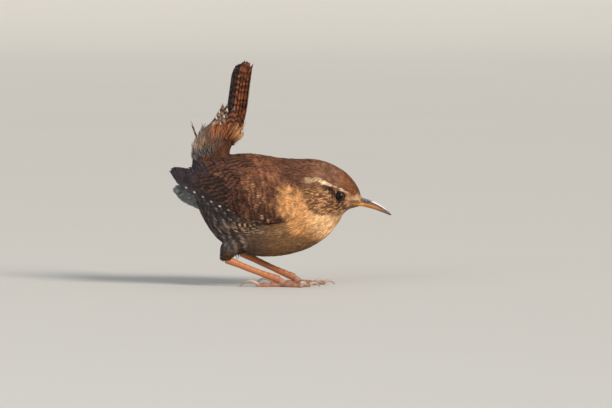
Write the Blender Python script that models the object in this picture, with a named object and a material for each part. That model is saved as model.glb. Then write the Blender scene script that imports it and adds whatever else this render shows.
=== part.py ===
"""A life-size wren standing with its tail cocked, as a still museum model.

The bird faces +X with its right side towards -Y, and it stands on the plane z = 0.
The origin is on that plane, under the middle of the bird's bounding box.
Lengths below are in millimetres and become metres where a mesh is made.
"""

import math

import bmesh
import bpy
import numpy as np

METRES = 0.001
GAP = 0.3  # between nodes that touch
RIGHT, LEFT = -1.0, 1.0  # the sign of Y on each side of the bird

# The body's outline in the plane of symmetry, ring by ring from the bill's base to the tail's base:
# the ring's point on the back (x, z), its point on the belly (x, z), its half width,
# and how far below its middle it is widest, as a share of its half height.
BODY_RINGS = [
    (26.0, 28.2, 25.4, 25.5, 1.55, 0.00),
    (25.2, 30.9, 23.6, 25.0, 3.30, 0.05),
    (23.2, 33.8, 21.8, 24.4, 5.10, 0.08),
    (20.2, 36.6, 20.1, 22.9, 6.60, 0.08),
    (15.8, 39.0, 18.9, 20.6, 7.70, 0.05),
    (11.0, 40.3, 17.7, 18.9, 8.90, 0.00),
    (5.0, 40.7, 15.8, 16.6, 10.70, 0.00),
    (-0.5, 41.1, 12.4, 13.9, 12.30, 0.00),
    (-5.5, 41.9, 7.0, 11.3, 13.30, 0.02),
    (-9.5, 42.4, 0.2, 9.7, 13.60, 0.04),
    (-12.5, 42.4, -7.0, 9.5, 13.20, 0.06),
    (-14.5, 42.2, -14.0, 11.0, 12.20, 0.06),
    (-15.7, 42.1, -19.9, 15.0, 10.60, 0.04),
    (-16.2, 42.2, -24.0, 20.4, 8.90, 0.00),
    (-16.4, 42.6, -26.9, 27.0, 7.20, 0.00),
    (-16.4, 43.3, -28.2, 34.4, 5.70, 0.00),
    (-15.9, 44.8, -28.0, 40.6, 4.90, 0.00),
]
HEAD_END, NECK_END, TORSO_END = 5.0, 7.0, 13.6  # where the body is parted, in rings
BODY_RING_POINTS = 26
ROWS_PER_RING = 1.7

# Bill: top edge, cutting edge and lower edge as (x, z) from its base to its tip.
BILL_TOP = [(26.15, 28.0), (28.8, 27.35), (30.4, 26.65), (31.9, 25.75), (33.5, 24.55), (35.3, 22.75)]
BILL_CUT = [(26.15, 26.85), (28.3, 26.4), (30.3, 25.7), (32.1, 24.75), (33.8, 23.7), (35.2, 22.7)]
BILL_LOW = [(25.95, 25.45), (27.4, 25.15), (29.6, 24.5), (31.6, 23.8), (33.3, 23.15), (34.7, 22.55)]
BILL_HALF_WIDTH = 1.45
BILL_GAP = 0.15  # half the slit between the mandibles

EYE_CENTRE = (19.3, 28.7)
EYE_RADIUS = 2.1
EYE_SEEN_RADIUS = 1.5
LID_THICKNESS = 0.38

# Wing: the surface that it lies on is an ellipse round the body at each x.
WING_BED_MIDDLE, WING_BED_HEIGHT = 26.0, 16.5
WING_BED_WIDTH = [(9.0, 12.0), (4.0, 13.2), (-2.0, 14.1), (-8.0, 14.3), (-14.0, 13.6), (-20.0, 12.4),
                  (-26.0, 11.0), (-32.0, 9.4), (-38.0, 7.8)]
WING_SHOULDER = (2.0, 30.0)
WING_DROOP = {RIGHT: 0.0, LEFT: math.radians(7.5)}
WING_FORWARD = {RIGHT: 0.0, LEFT: 1.15}
VANE_THICKNESS = 0.5

TAIL_ROOT = (-16.9, 44.0)
TAIL_LEAN = math.radians(12.4)  # forward of upright
TAIL_TWIST = math.radians(6.0)  # turned a little, so that its right side shows
TAIL_LENGTH = 29.0
TAIL_ARCH = (2.9, 4.5)  # half width and height of the roof that the feathers form

HEEL = {RIGHT: (-17.3, -6.2, 8.9), LEFT: (-12.6, 6.2, 10.3)}
TOE_JOINT = {RIGHT: (-0.4, -5.6, 2.35), LEFT: (4.4, 5.6, 2.35)}
HIP = {RIGHT: (-9.0, -6.4, 17.5), LEFT: (-6.5, 6.4, 17.8)}

# Each toe: its heading out from straight ahead in degrees, its length, and its claw's length.
TOES = {"inner": (-27.0, 7.4, 3.3), "middle": (3.0, 9.6, 3.6), "outer": (29.0, 7.8, 3.3),
        "hind": (178.0, 8.2, 6.0)}
TOE_ROWS = 7

BROWN = (0.155, 0.072, 0.036)
COLOURS = {
    "back": (BROWN, 0.75),
    "face": ((0.30, 0.17, 0.09), 0.75),
    "flight": ((0.16, 0.065, 0.028), 0.7),
    "belly": ((0.25, 0.15, 0.085), 0.8),
    "horn": ((0.10, 0.075, 0.07), 0.35),
    "lower_horn": ((0.55, 0.24, 0.06), 0.4),
    "eye": ((0.012, 0.009, 0.008), 0.05),
    "leg": ((0.42, 0.19, 0.12), 0.5),
}


def material(name):
    """A plain Principled material in one of the bird's colours."""
    made = bpy.data.materials.get(name) or bpy.data.materials.new(name)
    made.use_nodes = True
    shader = made.node_tree.nodes["Principled BSDF"]
    colour, roughness = COLOURS[name]
    shader.inputs["Base Color"].default_value = (*colour, 1.0)
    shader.inputs["Roughness"].default_value = roughness
    shader.inputs["Metallic"].default_value = 0.0
    return made


def through(stations, t):
    """A Catmull-Rom curve through rows of numbers, read at t, which counts the rows from 0."""
    rows = np.asarray(stations, float)
    last = len(rows) - 1
    t = np.clip(np.asarray(t, float), 0, last)
    i = np.minimum(t.astype(int), last - 1)
    f = (t - i)[..., None]
    before, here, there = rows[np.maximum(i - 1, 0)], rows[i], rows[i + 1]
    after = rows[np.minimum(i + 2, last)]
    return 0.5 * (2 * here + (there - before) * f + (2 * before - 5 * here + 4 * there - after) * f**2
                  + (3 * here - before - 3 * there + after) * f**3)


def add_mesh(name, points, faces):
    """A new object from points in millimetres, with its faces turned to point out."""
    mesh = bpy.data.meshes.new(name)
    mesh.from_pydata((np.asarray(points, float) * METRES).tolist(), [], faces)
    work = bmesh.new()
    work.from_mesh(mesh)
    bmesh.ops.triangulate(work, faces=work.faces[:])
    bmesh.ops.recalc_face_normals(work, faces=work.faces[:])
    if work.calc_volume(signed=True) < 0:
        bmesh.ops.reverse_faces(work, faces=work.faces[:])
    work.to_mesh(mesh)
    work.free()
    made = bpy.data.objects.new(name, mesh)
    bpy.context.scene.collection.objects.link(made)
    return made


def ringed(name, rings):
    """A closed skin over rings of points, each ring the same length, with a flat fan at either end."""
    rings = np.asarray(rings, float)
    rows, around, _ = rings.shape
    points = np.vstack([rings.reshape(-1, 3), rings[0].mean(0), rings[-1].mean(0)])
    first_cap, last_cap = rows * around, rows * around + 1
    faces = []
    for r in range(rows - 1):
        for k in range(around):
            n = (k + 1) % around
            faces.append((r * around + k, r * around + n, (r + 1) * around + n, (r + 1) * around + k))
    for k in range(around):
        n = (k + 1) % around
        faces.append((n, k, first_cap))
        faces.append(((rows - 1) * around + k, (rows - 1) * around + n, last_cap))
    return add_mesh(name, points, faces)


def slab(name, outer, inner):
    """A closed sheet between two grids of points that match row by row and column by column."""
    rows, columns, _ = outer.shape
    count = rows * columns
    index = np.arange(count).reshape(rows, columns)
    faces = []
    for r in range(rows - 1):
        for c in range(columns - 1):
            square = (index[r, c], index[r, c + 1], index[r + 1, c + 1], index[r + 1, c])
            faces.append(square)
            faces.append(tuple(i + count for i in reversed(square)))
    rim = [*index[0], *index[1:, -1], *index[-1, -2::-1], *index[-2:0:-1, 0]]
    for a, b in zip(rim, rim[1:] + rim[:1]):
        faces.append((b, a, a + count, b + count))
    return add_mesh(name, np.vstack([outer.reshape(-1, 3), inner.reshape(-1, 3)]), faces)


def tube(name, path, radii, around=8, flatten=1.0):
    """A tapered tube along a path, its rings square to it, flatten times as high as they are wide.

    A level tube has one of its flat sides underneath.
    """
    path, radii = np.asarray(path, float), np.asarray(radii, float)
    along = np.gradient(path, axis=0)
    along /= np.linalg.norm(along, axis=1)[:, None]
    level = np.cross(along, (0.0, 0.0, 1.0))
    level /= np.linalg.norm(level, axis=1)[:, None]
    up = np.cross(level, along)
    angles = (np.arange(around) + 0.5) * 2 * math.pi / around - math.pi / 2
    rings = (path[:, None] + level[:, None] * (np.cos(angles)[None, :, None] * radii[:, None, None])
             + up[:, None] * (np.sin(angles)[None, :, None] * radii[:, None, None] * flatten))
    return ringed(name, rings)


def ball(name, centre, radius, squash=(1.0, 1.0, 1.0), segments=14, rings=9):
    """A sphere, squashed along the axes."""
    work = bmesh.new()
    bmesh.ops.create_uvsphere(work, u_segments=segments, v_segments=rings, radius=1.0)
    mesh = bpy.data.meshes.new(name)
    work.to_mesh(mesh)
    work.free()
    points = np.array([v.co for v in mesh.vertices]) * radius * np.array(squash) + np.array(centre)
    faces = [tuple(p.vertices) for p in mesh.polygons]
    bpy.data.meshes.remove(mesh)
    return add_mesh(name, points, faces)


def largest_body(made):
    """Keeps the largest closed surface of a mesh and drops the scraps that a Boolean leaves."""
    work = bmesh.new()
    work.from_mesh(made.data)
    bmesh.ops.triangulate(work, faces=work.faces[:])
    left, shells = set(work.faces), []
    while left:
        stack = [left.pop()]
        shell = list(stack)
        while stack:
            for edge in stack.pop().edges:
                for face in edge.link_faces:
                    if face in left:
                        left.remove(face)
                        stack.append(face)
                        shell.append(face)
        shells.append(shell)

    def volume(shell):
        return sum(f.verts[0].co.dot(f.verts[1].co.cross(f.verts[2].co)) for f in shell)

    keep = set(max(shells, key=volume))
    bmesh.ops.delete(work, geom=[f for f in work.faces if f not in keep], context="FACES")
    work.to_mesh(made.data)
    work.free()


def combine(target, others, operation, solver="MANIFOLD"):
    """Applies one Boolean between an object and a collection of others, which it then removes."""
    group = bpy.data.collections.new("pieces")
    for other in others:
        group.objects.link(other)
    step = target.modifiers.new("join", "BOOLEAN")
    step.operation = operation
    step.operand_type = "COLLECTION"
    step.solver = solver
    step.collection = group
    bpy.context.view_layer.update()
    result = bpy.data.meshes.new_from_object(target.evaluated_get(bpy.context.evaluated_depsgraph_get()))
    target.modifiers.clear()
    target.data = result
    for other in others:
        bpy.data.objects.remove(other)
    bpy.data.collections.remove(group)
    largest_body(target)
    return target


def finish(made, name, colour, sharp=40.0):
    """Names a node, shades its round faces smooth and gives it its material."""
    made.name = made.data.name = name
    made.data.materials.clear()
    made.data.materials.append(material(colour))
    made.data.shade_smooth()
    made.data.set_sharp_from_angle(angle=math.radians(sharp))
    return made


def body_rings(first, last, grow=0.0):
    """Rings of the body between two places along it, each an ellipse from back to belly.

    grow pushes every ring out by that many millimetres.
    """
    rows = max(2, int(round((last - first) * ROWS_PER_RING)) + 1)
    read = through(BODY_RINGS, np.linspace(first, last, rows))
    back, belly = read[:, [0, 1]], read[:, [2, 3]]
    half = (back - belly) / 2
    middle = (back + belly) / 2
    long = np.linalg.norm(half, axis=1)[:, None]
    half = half * (1 + grow / long)
    width = read[:, 4] + grow
    low = read[:, 5]
    turn = np.arange(BODY_RING_POINTS) * 2 * math.pi / BODY_RING_POINTS
    height = np.cos(turn)[None, :] - low[:, None] * np.sin(turn)[None, :] ** 2
    rings = np.empty((rows, BODY_RING_POINTS, 3))
    rings[..., 0] = middle[:, 0, None] + half[:, 0, None] * height
    rings[..., 2] = middle[:, 1, None] + half[:, 1, None] * height
    rings[..., 1] = width[:, None] * np.sin(turn)[None, :]
    return rings


def body_piece(name, first, last, grow=0.0):
    """A length of the body whose end faces stand half a gap back from the parting planes."""
    rings = body_rings(first, last, grow)
    if grow == 0.0:
        for end, inner, is_outer_end in ((0, 1, first <= 0.0), (-1, -2, last >= len(BODY_RINGS) - 1)):
            if is_outer_end:
                continue
            step = rings[inner].mean(0) - rings[end].mean(0)
            rings[end] = rings[end] + step / np.linalg.norm(step) * GAP / 2
    return ringed(name, rings)


def grown_body():
    """The whole body, a gap larger all over, which cuts whatever lies on it."""
    return body_piece("cutter", 0.0, len(BODY_RINGS) - 1.0, GAP)


def head_half_width(x, z):
    """How far the head's side is from the plane of symmetry at a point of its profile."""
    rings = body_rings(0.0, HEAD_END).reshape(-1, 3)
    side = rings[rings[:, 1] > 0]
    nearest = np.argsort(np.hypot(side[:, 0] - x, side[:, 2] - z))[:3]
    return side[nearest, 1].mean()


def lid(name, side, surface):
    """The rim of the eyelids: a ring of round section, a little longer than high."""
    around, section = 18, 7
    turn = np.arange(around) * 2 * math.pi / around
    cut = np.arange(section) * 2 * math.pi / section
    major = EYE_SEEN_RADIUS + LID_THICKNESS * 0.75
    out = major + LID_THICKNESS * np.cos(cut)[None, :]
    points = np.stack([
        EYE_CENTRE[0] + out * np.cos(turn)[:, None] * 1.10,
        side * (surface + 0.05 + LID_THICKNESS * np.sin(cut)[None, :]) + 0 * turn[:, None],
        EYE_CENTRE[1] + out * np.sin(turn)[:, None] * 0.97,
    ], axis=-1)
    faces = []
    for a in range(around):
        b = (a + 1) % around
        for c in range(section):
            d = (c + 1) % section
            faces.append((a * section + c, b * section + c, b * section + d, a * section + d))
    return add_mesh(name, points.reshape(-1, 3), faces)


def head_and_eyes():
    """The head with its lids, eye sockets and the corner of the mouth, and the two eyes."""
    head = body_piece("head", 0.0, HEAD_END)
    surface = head_half_width(*EYE_CENTRE)
    depth = math.sqrt(EYE_RADIUS**2 - EYE_SEEN_RADIUS**2)
    combine(head, [lid("lid", side, surface) for side in (RIGHT, LEFT)], "UNION")
    sockets, eyes = [], []
    for side, word in ((RIGHT, "right"), (LEFT, "left")):
        centre = (EYE_CENTRE[0], side * (surface - depth), EYE_CENTRE[1])
        sockets.append(ball("socket", centre, EYE_RADIUS + GAP))
        eyes.append(finish(ball("eye", centre, EYE_RADIUS), f"eye_{word}", "eye"))
        sockets.append(mouth_corner(side))
    combine(head, sockets, "DIFFERENCE")
    return finish(head, "head", "face"), eyes


def mouth_corner(side):
    """A thin wedge that carries the line of the mouth back from the bill into the cheek."""
    x, z = BILL_CUT[0]
    length, drop, height, reach = 2.2, 0.35, 0.18, 1.0
    points = [(x + 0.6, 0.0, z - height), (x + 0.6, 0.0, z + height),
              (x - length, side * reach, z - drop), (x + 0.6, side * 4.0, z - height),
              (x + 0.6, side * 4.0, z + height), (x - length, side * 5.0, z - drop)]
    faces = [(0, 1, 2), (3, 5, 4), (0, 2, 5, 3), (1, 4, 5, 2), (0, 3, 4, 1)]
    return add_mesh("mouth", points, faces)


def mandible(name, top, bottom, share, ridge):
    """Half of the bill between two edge lines, narrowing to its tip; ridge rounds it like a roof."""
    rows, around = 10, 12
    t = np.linspace(0.0, 1.0, rows)
    high = through(top, t * (len(top) - 1))
    low = through(bottom, t * (len(bottom) - 1))
    width = share * BILL_HALF_WIDTH * (0.08 + 0.92 * (1 - t) ** 0.8)
    turn = np.arange(around) * 2 * math.pi / around
    lift = np.cos(turn) * np.where(np.cos(turn) * ridge > 0, 1.0, 0.72)
    rings = np.empty((rows, around, 3))
    middle, half = (high + low) / 2, (high - low) / 2
    rings[..., 0] = middle[:, 0, None] + half[:, 0, None] * lift
    rings[..., 2] = middle[:, 1, None] + half[:, 1, None] * lift
    rings[..., 1] = width[:, None] * np.sin(turn) * (1 - 0.25 * np.clip(np.cos(turn) * ridge, 0, 1))
    return ringed(name, rings)


def bill():
    """Upper and lower mandible with the slit of the mouth between them, and the two nostrils."""
    cut = np.array(BILL_CUT)
    taper = np.linspace(1.0, 0.45, len(cut))[:, None] * BILL_GAP
    away = np.array([0.0, 1.0])
    base_shift = np.array([GAP, 0.0])
    top, low = np.array(BILL_TOP), np.array(BILL_LOW)
    upper = mandible("upper", top + base_shift * [[1]] + [[0, 0]], cut + taper * away + base_shift, 1.0, 1.0)
    lower = mandible("lower", cut - taper * away + base_shift, low + base_shift, 0.92, -1.0)
    nostrils = [ball("nostril", (28.1, side * 1.22, 27.25), 1.0, (0.62, 0.32, 0.2), 8, 6)
                for side in (RIGHT, LEFT)]
    combine(upper, nostrils, "DIFFERENCE")
    finish(upper, "bill_upper", "horn")
    finish(lower, "bill_lower", "lower_horn")


def bed(x, turn, side, lift=0.0):
    """A point on the surface that the folded wing lies on.

    turn is the angle from the top of the back, and lift the height off that surface.
    """
    widths = np.array(WING_BED_WIDTH)
    wide = np.interp(-np.asarray(x, float), -widths[:, 0], widths[:, 1])
    across, up = np.sin(turn) / wide, np.cos(turn) / WING_BED_HEIGHT
    size = np.hypot(across, up)
    y = wide * np.sin(turn) + lift * across / size
    z = WING_BED_MIDDLE + WING_BED_HEIGHT * np.cos(turn) + lift * up / size
    return np.stack([x + 0 * y, side * y, z], axis=-1)


def on_wing(point, side):
    """A place of the wing's side view as (x, turn) on its surface, after the wing's droop."""
    x, z = point
    c, s = math.cos(WING_DROOP[side]), math.sin(WING_DROOP[side])
    dx, dz = x - WING_SHOULDER[0], z - WING_SHOULDER[1]
    x = WING_SHOULDER[0] + WING_FORWARD[side] + dx * c - dz * s
    z = WING_SHOULDER[1] + dx * s + dz * c
    return np.array([x, math.acos(max(-1.0, min(1.0, (z - WING_BED_MIDDLE) / WING_BED_HEIGHT)))])


# The outline of a vane: the place along it and its width there, as shares of its length and width.
VANE_SHAPE = np.array([(0.0, 0.45), (0.3, 0.92), (0.66, 1.0), (0.9, 0.72), (1.0, 0.22)])


def wing_vane(side, root, tip, width, lift, tilt, shape=VANE_SHAPE):
    """One feather on the wing's surface, from root to tip as seen from the side.

    Its lower edge stands tilt higher than its upper edge, as a shingle's does. Its tip is lifted a
    little more than its root, which sinks into the wing.
    """
    start, end = on_wing(root, side), on_wing(tip, side)
    scale = np.array([1.0, WING_BED_HEIGHT * 0.9])  # so that a step of either coordinate is a length
    along = (end - start) * scale
    along /= np.linalg.norm(along)
    down = np.array([along[1], -along[0]])
    if down[1] < 0:
        down = -down
    down = down / scale
    rings = []
    for place, share in shape:
        middle = start + (end - start) * place
        low = middle + down * width * share / 2
        high = middle - down * width * share / 2
        rise = lift - 0.27 + 0.35 * place
        corners = [(low, rise + tilt / 2), (high, rise - tilt / 2),
                   (high, rise - tilt / 2 - VANE_THICKNESS), (low, rise + tilt / 2 - VANE_THICKNESS)]
        rings.append([bed(p[0], p[1], side, h) for p, h in corners])
    return ringed("vane", rings)


def spread(count, first, last, bow=(0.0, 0.0)):
    """count points from first to last, bowed out between them."""
    t = np.linspace(0.0, 1.0, count)[:, None]
    first, last, bow = (np.array(v, float) for v in (first, last, bow))
    return first + (last - first) * t + bow * 4 * t * (1 - t)


def wing_core(side):
    """The fleshy part of the wing, under the coverts: a patch of its surface with some depth."""
    middle = spread(9, (8.4, 27.0), (-15.6, 30.0))
    depth = np.array([1.2, 5.2, 7.2, 8.6, 9.4, 9.7, 9.4, 8.8, 8.0])
    across = np.linspace(0.0, 1.0, 6)
    dome = 0.35 * np.sin(across * math.pi)
    outer, inner = [], []
    for place, deep in zip(middle, depth):
        a, b = on_wing(place - (0.0, deep), side), on_wing(place + (0.0, deep * 0.92), side)
        places = a + (b - a) * across[:, None]
        outer.append([bed(p[0], p[1], side, h) for p, h in zip(places, dome)])
        inner.append([bed(p[0], p[1], side, -1.0) for p in places])
    return slab("core", np.array(outer), np.array(inner))


PRIMARIES, SECONDARIES, TERTIALS = 8, 5, 3
PRIMARY_TIPS = [(-25.6, 29.0), (-29.2, 31.9), (-32.2, 34.4), (-34.3, 36.2), (-35.3, 37.2), (-34.9, 37.9),
                (-33.7, 38.3), (-32.3, 38.5)]


def wing(side, word):
    """A folded wing: flight feathers in a fan from the wing tip to the back, with coverts over them."""
    pieces = []
    for root, tip, k in zip(spread(PRIMARIES, (-2.5, 19.3), (-8.5, 24.3), (0.0, -0.3)), PRIMARY_TIPS, range(PRIMARIES)):
        pieces.append(wing_vane(side, root, tip, 4.4, -0.10 + 0.05 * k, 0.75))
    inner_tips = spread(SECONDARIES, (-30.9, 38.7), (-26.6, 39.0))
    for root, tip, k in zip(spread(SECONDARIES, (-9.0, 25.8), (-8.0, 33.0)), inner_tips, range(SECONDARIES)):
        pieces.append(wing_vane(side, root, tip, 5.6, 0.30 + 0.06 * k, 0.8))
    top_tips = spread(TERTIALS, (-25.2, 39.4), (-19.0, 40.4))
    for root, tip, k in zip(spread(TERTIALS, (-8.0, 34.3), (-7.0, 37.6)), top_tips, range(TERTIALS)):
        pieces.append(wing_vane(side, root, tip, 6.2, 0.62 + 0.08 * k, 0.7))
    tiers = [
        (4, (-0.5, 18.8), (-3.0, 22.6), (-11.5, 20.6), (-14.5, 25.6), 3.4, 0.62),
        (6, (-3.0, 24.5), (-4.0, 36.5), (-14.5, 27.4), (-14.8, 38.3), 4.3, 0.98),
        (5, (3.0, 23.4), (1.0, 35.0), (-6.6, 24.4), (-7.4, 36.9), 4.4, 1.22),
        (1, (4.0, 20.4), (4.0, 20.4), (-7.6, 19.8), (-7.6, 19.8), 2.9, 0.95),
    ]
    for count, root_low, root_high, tip_low, tip_high, width, lift in tiers:
        for root, tip in zip(spread(count, root_low, root_high), spread(count, tip_low, tip_high)):
            pieces.append(wing_vane(side, root, tip, width, lift, 0.5))
    made = wing_core(side)
    combine(made, pieces, "UNION")
    combine(made, [grown_body()], "DIFFERENCE")
    return finish(made, f"wing_{word}", "flight", 30.0)


def tail_frame():
    """The tail's own axes: along it, across it to the bird's left, and out of its upper face."""
    along = np.array([math.sin(TAIL_LEAN), 0.0, math.cos(TAIL_LEAN)])
    across = np.array([0.0, 1.0, 0.0])
    face = np.cross(across, along)
    c, s = math.cos(TAIL_TWIST), math.sin(TAIL_TWIST)
    return along, across * c + face * s, face * c - across * s


# A tail feather's own outline, with its blunt tip.
TAIL_SHAPE = np.array([(0.0, 0.45), (0.3, 0.85), (0.7, 1.0), (0.93, 0.84), (1.0, 0.40)])


def tail_vane(root, tip, facing, width, lift=0.0, shape=VANE_SHAPE):
    """One feather of the tail, from root to tip in the tail's frame (across, face, along).

    facing is the angle that its upper side is turned away from the tail's upper face.
    """
    along, across, face = tail_frame()
    origin = np.array([TAIL_ROOT[0], 0.0, TAIL_ROOT[1]])
    root, tip = np.array(root, float), np.array(tip, float)
    flat = np.array([math.cos(facing), -math.sin(facing)])
    up = np.array([math.sin(facing), math.cos(facing)])
    rings = []
    for place, share in shape:
        middle = root + (tip - root) * place
        ring = []
        for edge, level in ((-1, 1), (1, 1), (1, -1), (-1, -1)):
            p = middle[:2] + flat * edge * width * share / 2 + up * (lift + level * VANE_THICKNESS / 2)
            ring.append(origin + across * p[0] + face * p[1] + along * middle[2])
        rings.append(ring)
    return ringed("vane", rings)


TAIL_PAIRS = 6
TAIL_SHARES = [0.935, 0.955, 0.985, 1.0, 0.965, 0.87]  # length of each pair, from the middle outwards

# Tail coverts in the side view: root (x, z), tip (x, z), how far each is across from the middle, width, facing.
COVERTS = [
    ((-21.5, 45.5), (-17.8, 58.8), (0.6, 1.5), 3.0, 118.0),
    ((-23.0, 44.0), (-21.7, 54.2), (1.0, 2.4), 3.4, 112.0),
    ((-25.0, 43.4), (-25.2, 51.2), (0.9, 1.3), 3.2, 128.0),
    ((-25.2, 42.8), (-28.5, 52.4), (0.5, 0.6), 2.0, 160.0),
    ((-26.6, 41.8), (-27.8, 47.6), (1.6, 2.4), 3.0, 120.0),
    ((-18.0, 45.0), (-17.2, 54.6), (3.0, 3.6), 3.8, 72.0),
    ((-16.6, 45.6), (-12.3, 54.0), (0.8, 1.3), 3.4, 18.0),
    ((-17.0, 44.6), (-12.0, 50.0), (1.4, 2.2), 3.6, 30.0),
]


def in_tail(across_bird, x, z):
    """A point of the side view in the tail's frame (across, face, along)."""
    along, across, face = tail_frame()
    point = np.array([x - TAIL_ROOT[0], across_bird, z - TAIL_ROOT[1]])
    return np.array([point @ across, point @ face, point @ along])


def tail():
    """Twelve tail feathers in a narrow roof, with the coverts above and below their roots."""
    pieces = []
    wide, high = TAIL_ARCH
    for pair in range(TAIL_PAIRS):
        turn = math.radians(11.0 + 13.5 * pair)
        for side in (RIGHT, LEFT):
            place = np.array([side * wide * math.sin(turn), high * (math.cos(turn) - 0.45)])
            facing = side * math.radians(14.0 + 13.0 * pair)
            tip = (*(place * 1.02), TAIL_LENGTH * TAIL_SHARES[pair])
            root = (*(place * 0.55), 1.5)
            pieces.append(tail_vane(root, tip, facing, 4.6 - 0.14 * pair, -0.12 * pair, TAIL_SHAPE))
    for root, tip, (root_across, tip_across), width, facing in COVERTS:
        for side in (RIGHT, LEFT):
            start = in_tail(side * root_across, *root)
            end = in_tail(side * tip_across, *tip)
            pieces.append(tail_vane(start, end, side * math.radians(facing), width))
    made = tail_core()
    combine(made, pieces, "UNION")
    combine(made, [grown_body()], "DIFFERENCE")
    return finish(made, "tail", "flight", 30.0)


# The stump of the tail in the side view: upper edge (x, z), lower edge (x, z), half width.
TAIL_CORE = [(-14.7, 47.4, -27.3, 45.4, 4.2), (-13.9, 50.4, -24.4, 50.0, 3.3), (-13.5, 53.4, -21.2, 53.6, 2.3),
             (-13.7, 56.2, -18.2, 56.6, 0.9)]


def tail_core():
    """The stump of the tail that carries the feathers' roots, standing a gap off the body's end."""
    end = body_rings(len(BODY_RINGS) - 2.0, len(BODY_RINGS) - 1.0)[-1]
    off = np.array([-(end[0] - end[BODY_RING_POINTS // 2])[2], 0.0, (end[0] - end[BODY_RING_POINTS // 2])[0]])
    rings = [end + off / np.linalg.norm(off) * GAP * 1.1]
    turn = np.arange(BODY_RING_POINTS) * 2 * math.pi / BODY_RING_POINTS
    for x_up, z_up, x_low, z_low, width in TAIL_CORE:
        ring = np.empty((BODY_RING_POINTS, 3))
        ring[:, 0] = (x_up + x_low) / 2 + (x_up - x_low) / 2 * np.cos(turn)
        ring[:, 2] = (z_up + z_low) / 2 + (z_up - z_low) / 2 * np.cos(turn)
        ring[:, 1] = width * np.sin(turn)
        rings.append(ring)
    return ringed("core", rings)


def thigh(side, word):
    """The feathered thigh, from the flank down to the heel."""
    hip, heel = np.array(HIP[side]), np.array(HEEL[side])
    end = heel + np.array([-0.2, 0.0, -0.9])
    t = np.linspace(0.0, 1.0, 9)
    path = hip + (end - hip) * t[:, None] + np.array([-2.2, 0.0, 0.4]) * (4 * t * (1 - t))[:, None]
    radii = np.interp(t, [0, 0.35, 0.7, 0.88, 0.97, 1.0], [4.6, 4.4, 3.0, 2.35, 1.7, 0.9])
    made = tube("thigh", path, radii, 16)
    combine(made, [grown_body()], "DIFFERENCE")
    return finish(made, f"thigh_{word}", "belly")


def shank_path(side):
    """The bare leg from the heel to the toes' joint."""
    heel, joint = np.array(HEEL[side]), np.array(TOE_JOINT[side])
    t = np.linspace(0.0, 1.0, 11)
    sag = np.array([0.0, 0.0, -0.25]) * (4 * t * (1 - t))[:, None]
    return heel + (joint - heel) * t[:, None] + sag, t


def shank(name, side, grow=0.0):
    """The bare leg, thin in the middle and swollen at either joint."""
    path, t = shank_path(side)
    radii = np.interp(t, [0, 0.08, 0.25, 0.6, 0.85, 1.0], [1.15, 1.05, 0.80, 0.72, 0.82, 0.94]) + grow
    return tube(name, path, radii, 10, 1.08)


def toe_path(side, heading, length, joint):
    """A toe's midline and radii: down from the joint, then flat on the ground out to the claw.

    The toe swells at its knuckles, and its lower side is cut off flat by the ground.
    """
    out = math.radians(heading) * (1.0 if side == LEFT else -1.0)
    forward = math.cos(out) > 0
    t = np.linspace(0.0, 1.0, TOE_ROWS)
    radii = 0.70 - 0.14 * t + 0.08 * np.cos(t * math.pi * 6)
    start = 0.3 if forward else 0.9
    path = np.empty((TOE_ROWS, 3))
    path[:, 0] = joint[0] + start + np.cos(out) * length * t
    path[:, 1] = joint[1] + np.sin(out) * length * t
    path[:, 2] = 0.8 * radii - 0.04 + (0.9 if forward else 0.3) * (1 - t) ** 5
    return path, radii, out


def foot(side, word):
    """Three toes forward and one back, each with its claw, and small flats where they stand."""
    joint = np.array(TOE_JOINT[side])
    pieces = []
    for heading, length, claw in TOES.values():
        path, radii, out = toe_path(side, heading, length, joint)
        pieces.append(tube("toe", path, radii, 6, 0.92))
        pieces.append(claw_piece(path[-1], out, claw))
    axis = joint - np.array(HEEL[side])
    axis /= np.linalg.norm(axis)
    t = np.linspace(0.0, 1.0, 5)
    path = joint + axis * GAP + np.outer(t, (1.9, 0.0, -1.5))
    made = tube("palm", path, np.interp(t, [0, 0.5, 1], [0.96, 1.08, 1.0]), 10, 1.05)
    combine(made, pieces, "UNION")
    combine(made, [shank("cutter", side, GAP)], "DIFFERENCE")
    for vertex in made.data.vertices:
        vertex.co.z = max(vertex.co.z, 0.0)
    return finish(made, f"foot_{word}", "leg")


def claw_piece(start, out, length):
    """A curved claw that rises from the toe's end and comes down to a point on the ground."""
    t = np.linspace(0.0, 1.0, 6)
    ahead = np.array([math.cos(out), math.sin(out), 0.0])
    path = start + ahead * (length * (t - 0.12))[:, None]
    path[:, 2] = start[2] * (1 - t) + 0.12 * t + 0.27 * length * np.sin(np.clip(t, 0, 1) * math.pi) ** 0.9
    radii = 0.50 * (1 - t) ** 0.7 + 0.13
    return tube("claw", path, radii, 5, 1.15)


def legs():
    """Both thighs, bare legs and feet."""
    for side, word in ((RIGHT, "right"), (LEFT, "left")):
        upper = thigh(side, word)
        bare = shank("shank", side)
        cutter = upper.copy()
        cutter.data = upper.data.copy()
        bpy.context.scene.collection.objects.link(cutter)
        swell(cutter, GAP)
        combine(bare, [cutter], "DIFFERENCE")
        finish(bare, f"shank_{word}", "leg")
        foot(side, word)


def swell(made, by):
    """Pushes every point of a mesh out along its normal."""
    normals = [v.normal.copy() for v in made.data.vertices]
    for vertex, normal in zip(made.data.vertices, normals):
        vertex.co += normal * by * METRES


def main():
    for old in list(bpy.data.objects):
        bpy.data.objects.remove(old)
    head_and_eyes()
    bill()
    finish(body_piece("neck", HEAD_END, NECK_END), "neck", "back")
    finish(body_piece("torso", NECK_END, TORSO_END), "torso", "back")
    finish(body_piece("rump", TORSO_END, len(BODY_RINGS) - 1.0), "rump", "back")
    tail()
    for side, word in ((RIGHT, "right"), (LEFT, "left")):
        wing(side, word)
    legs()


main()
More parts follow.
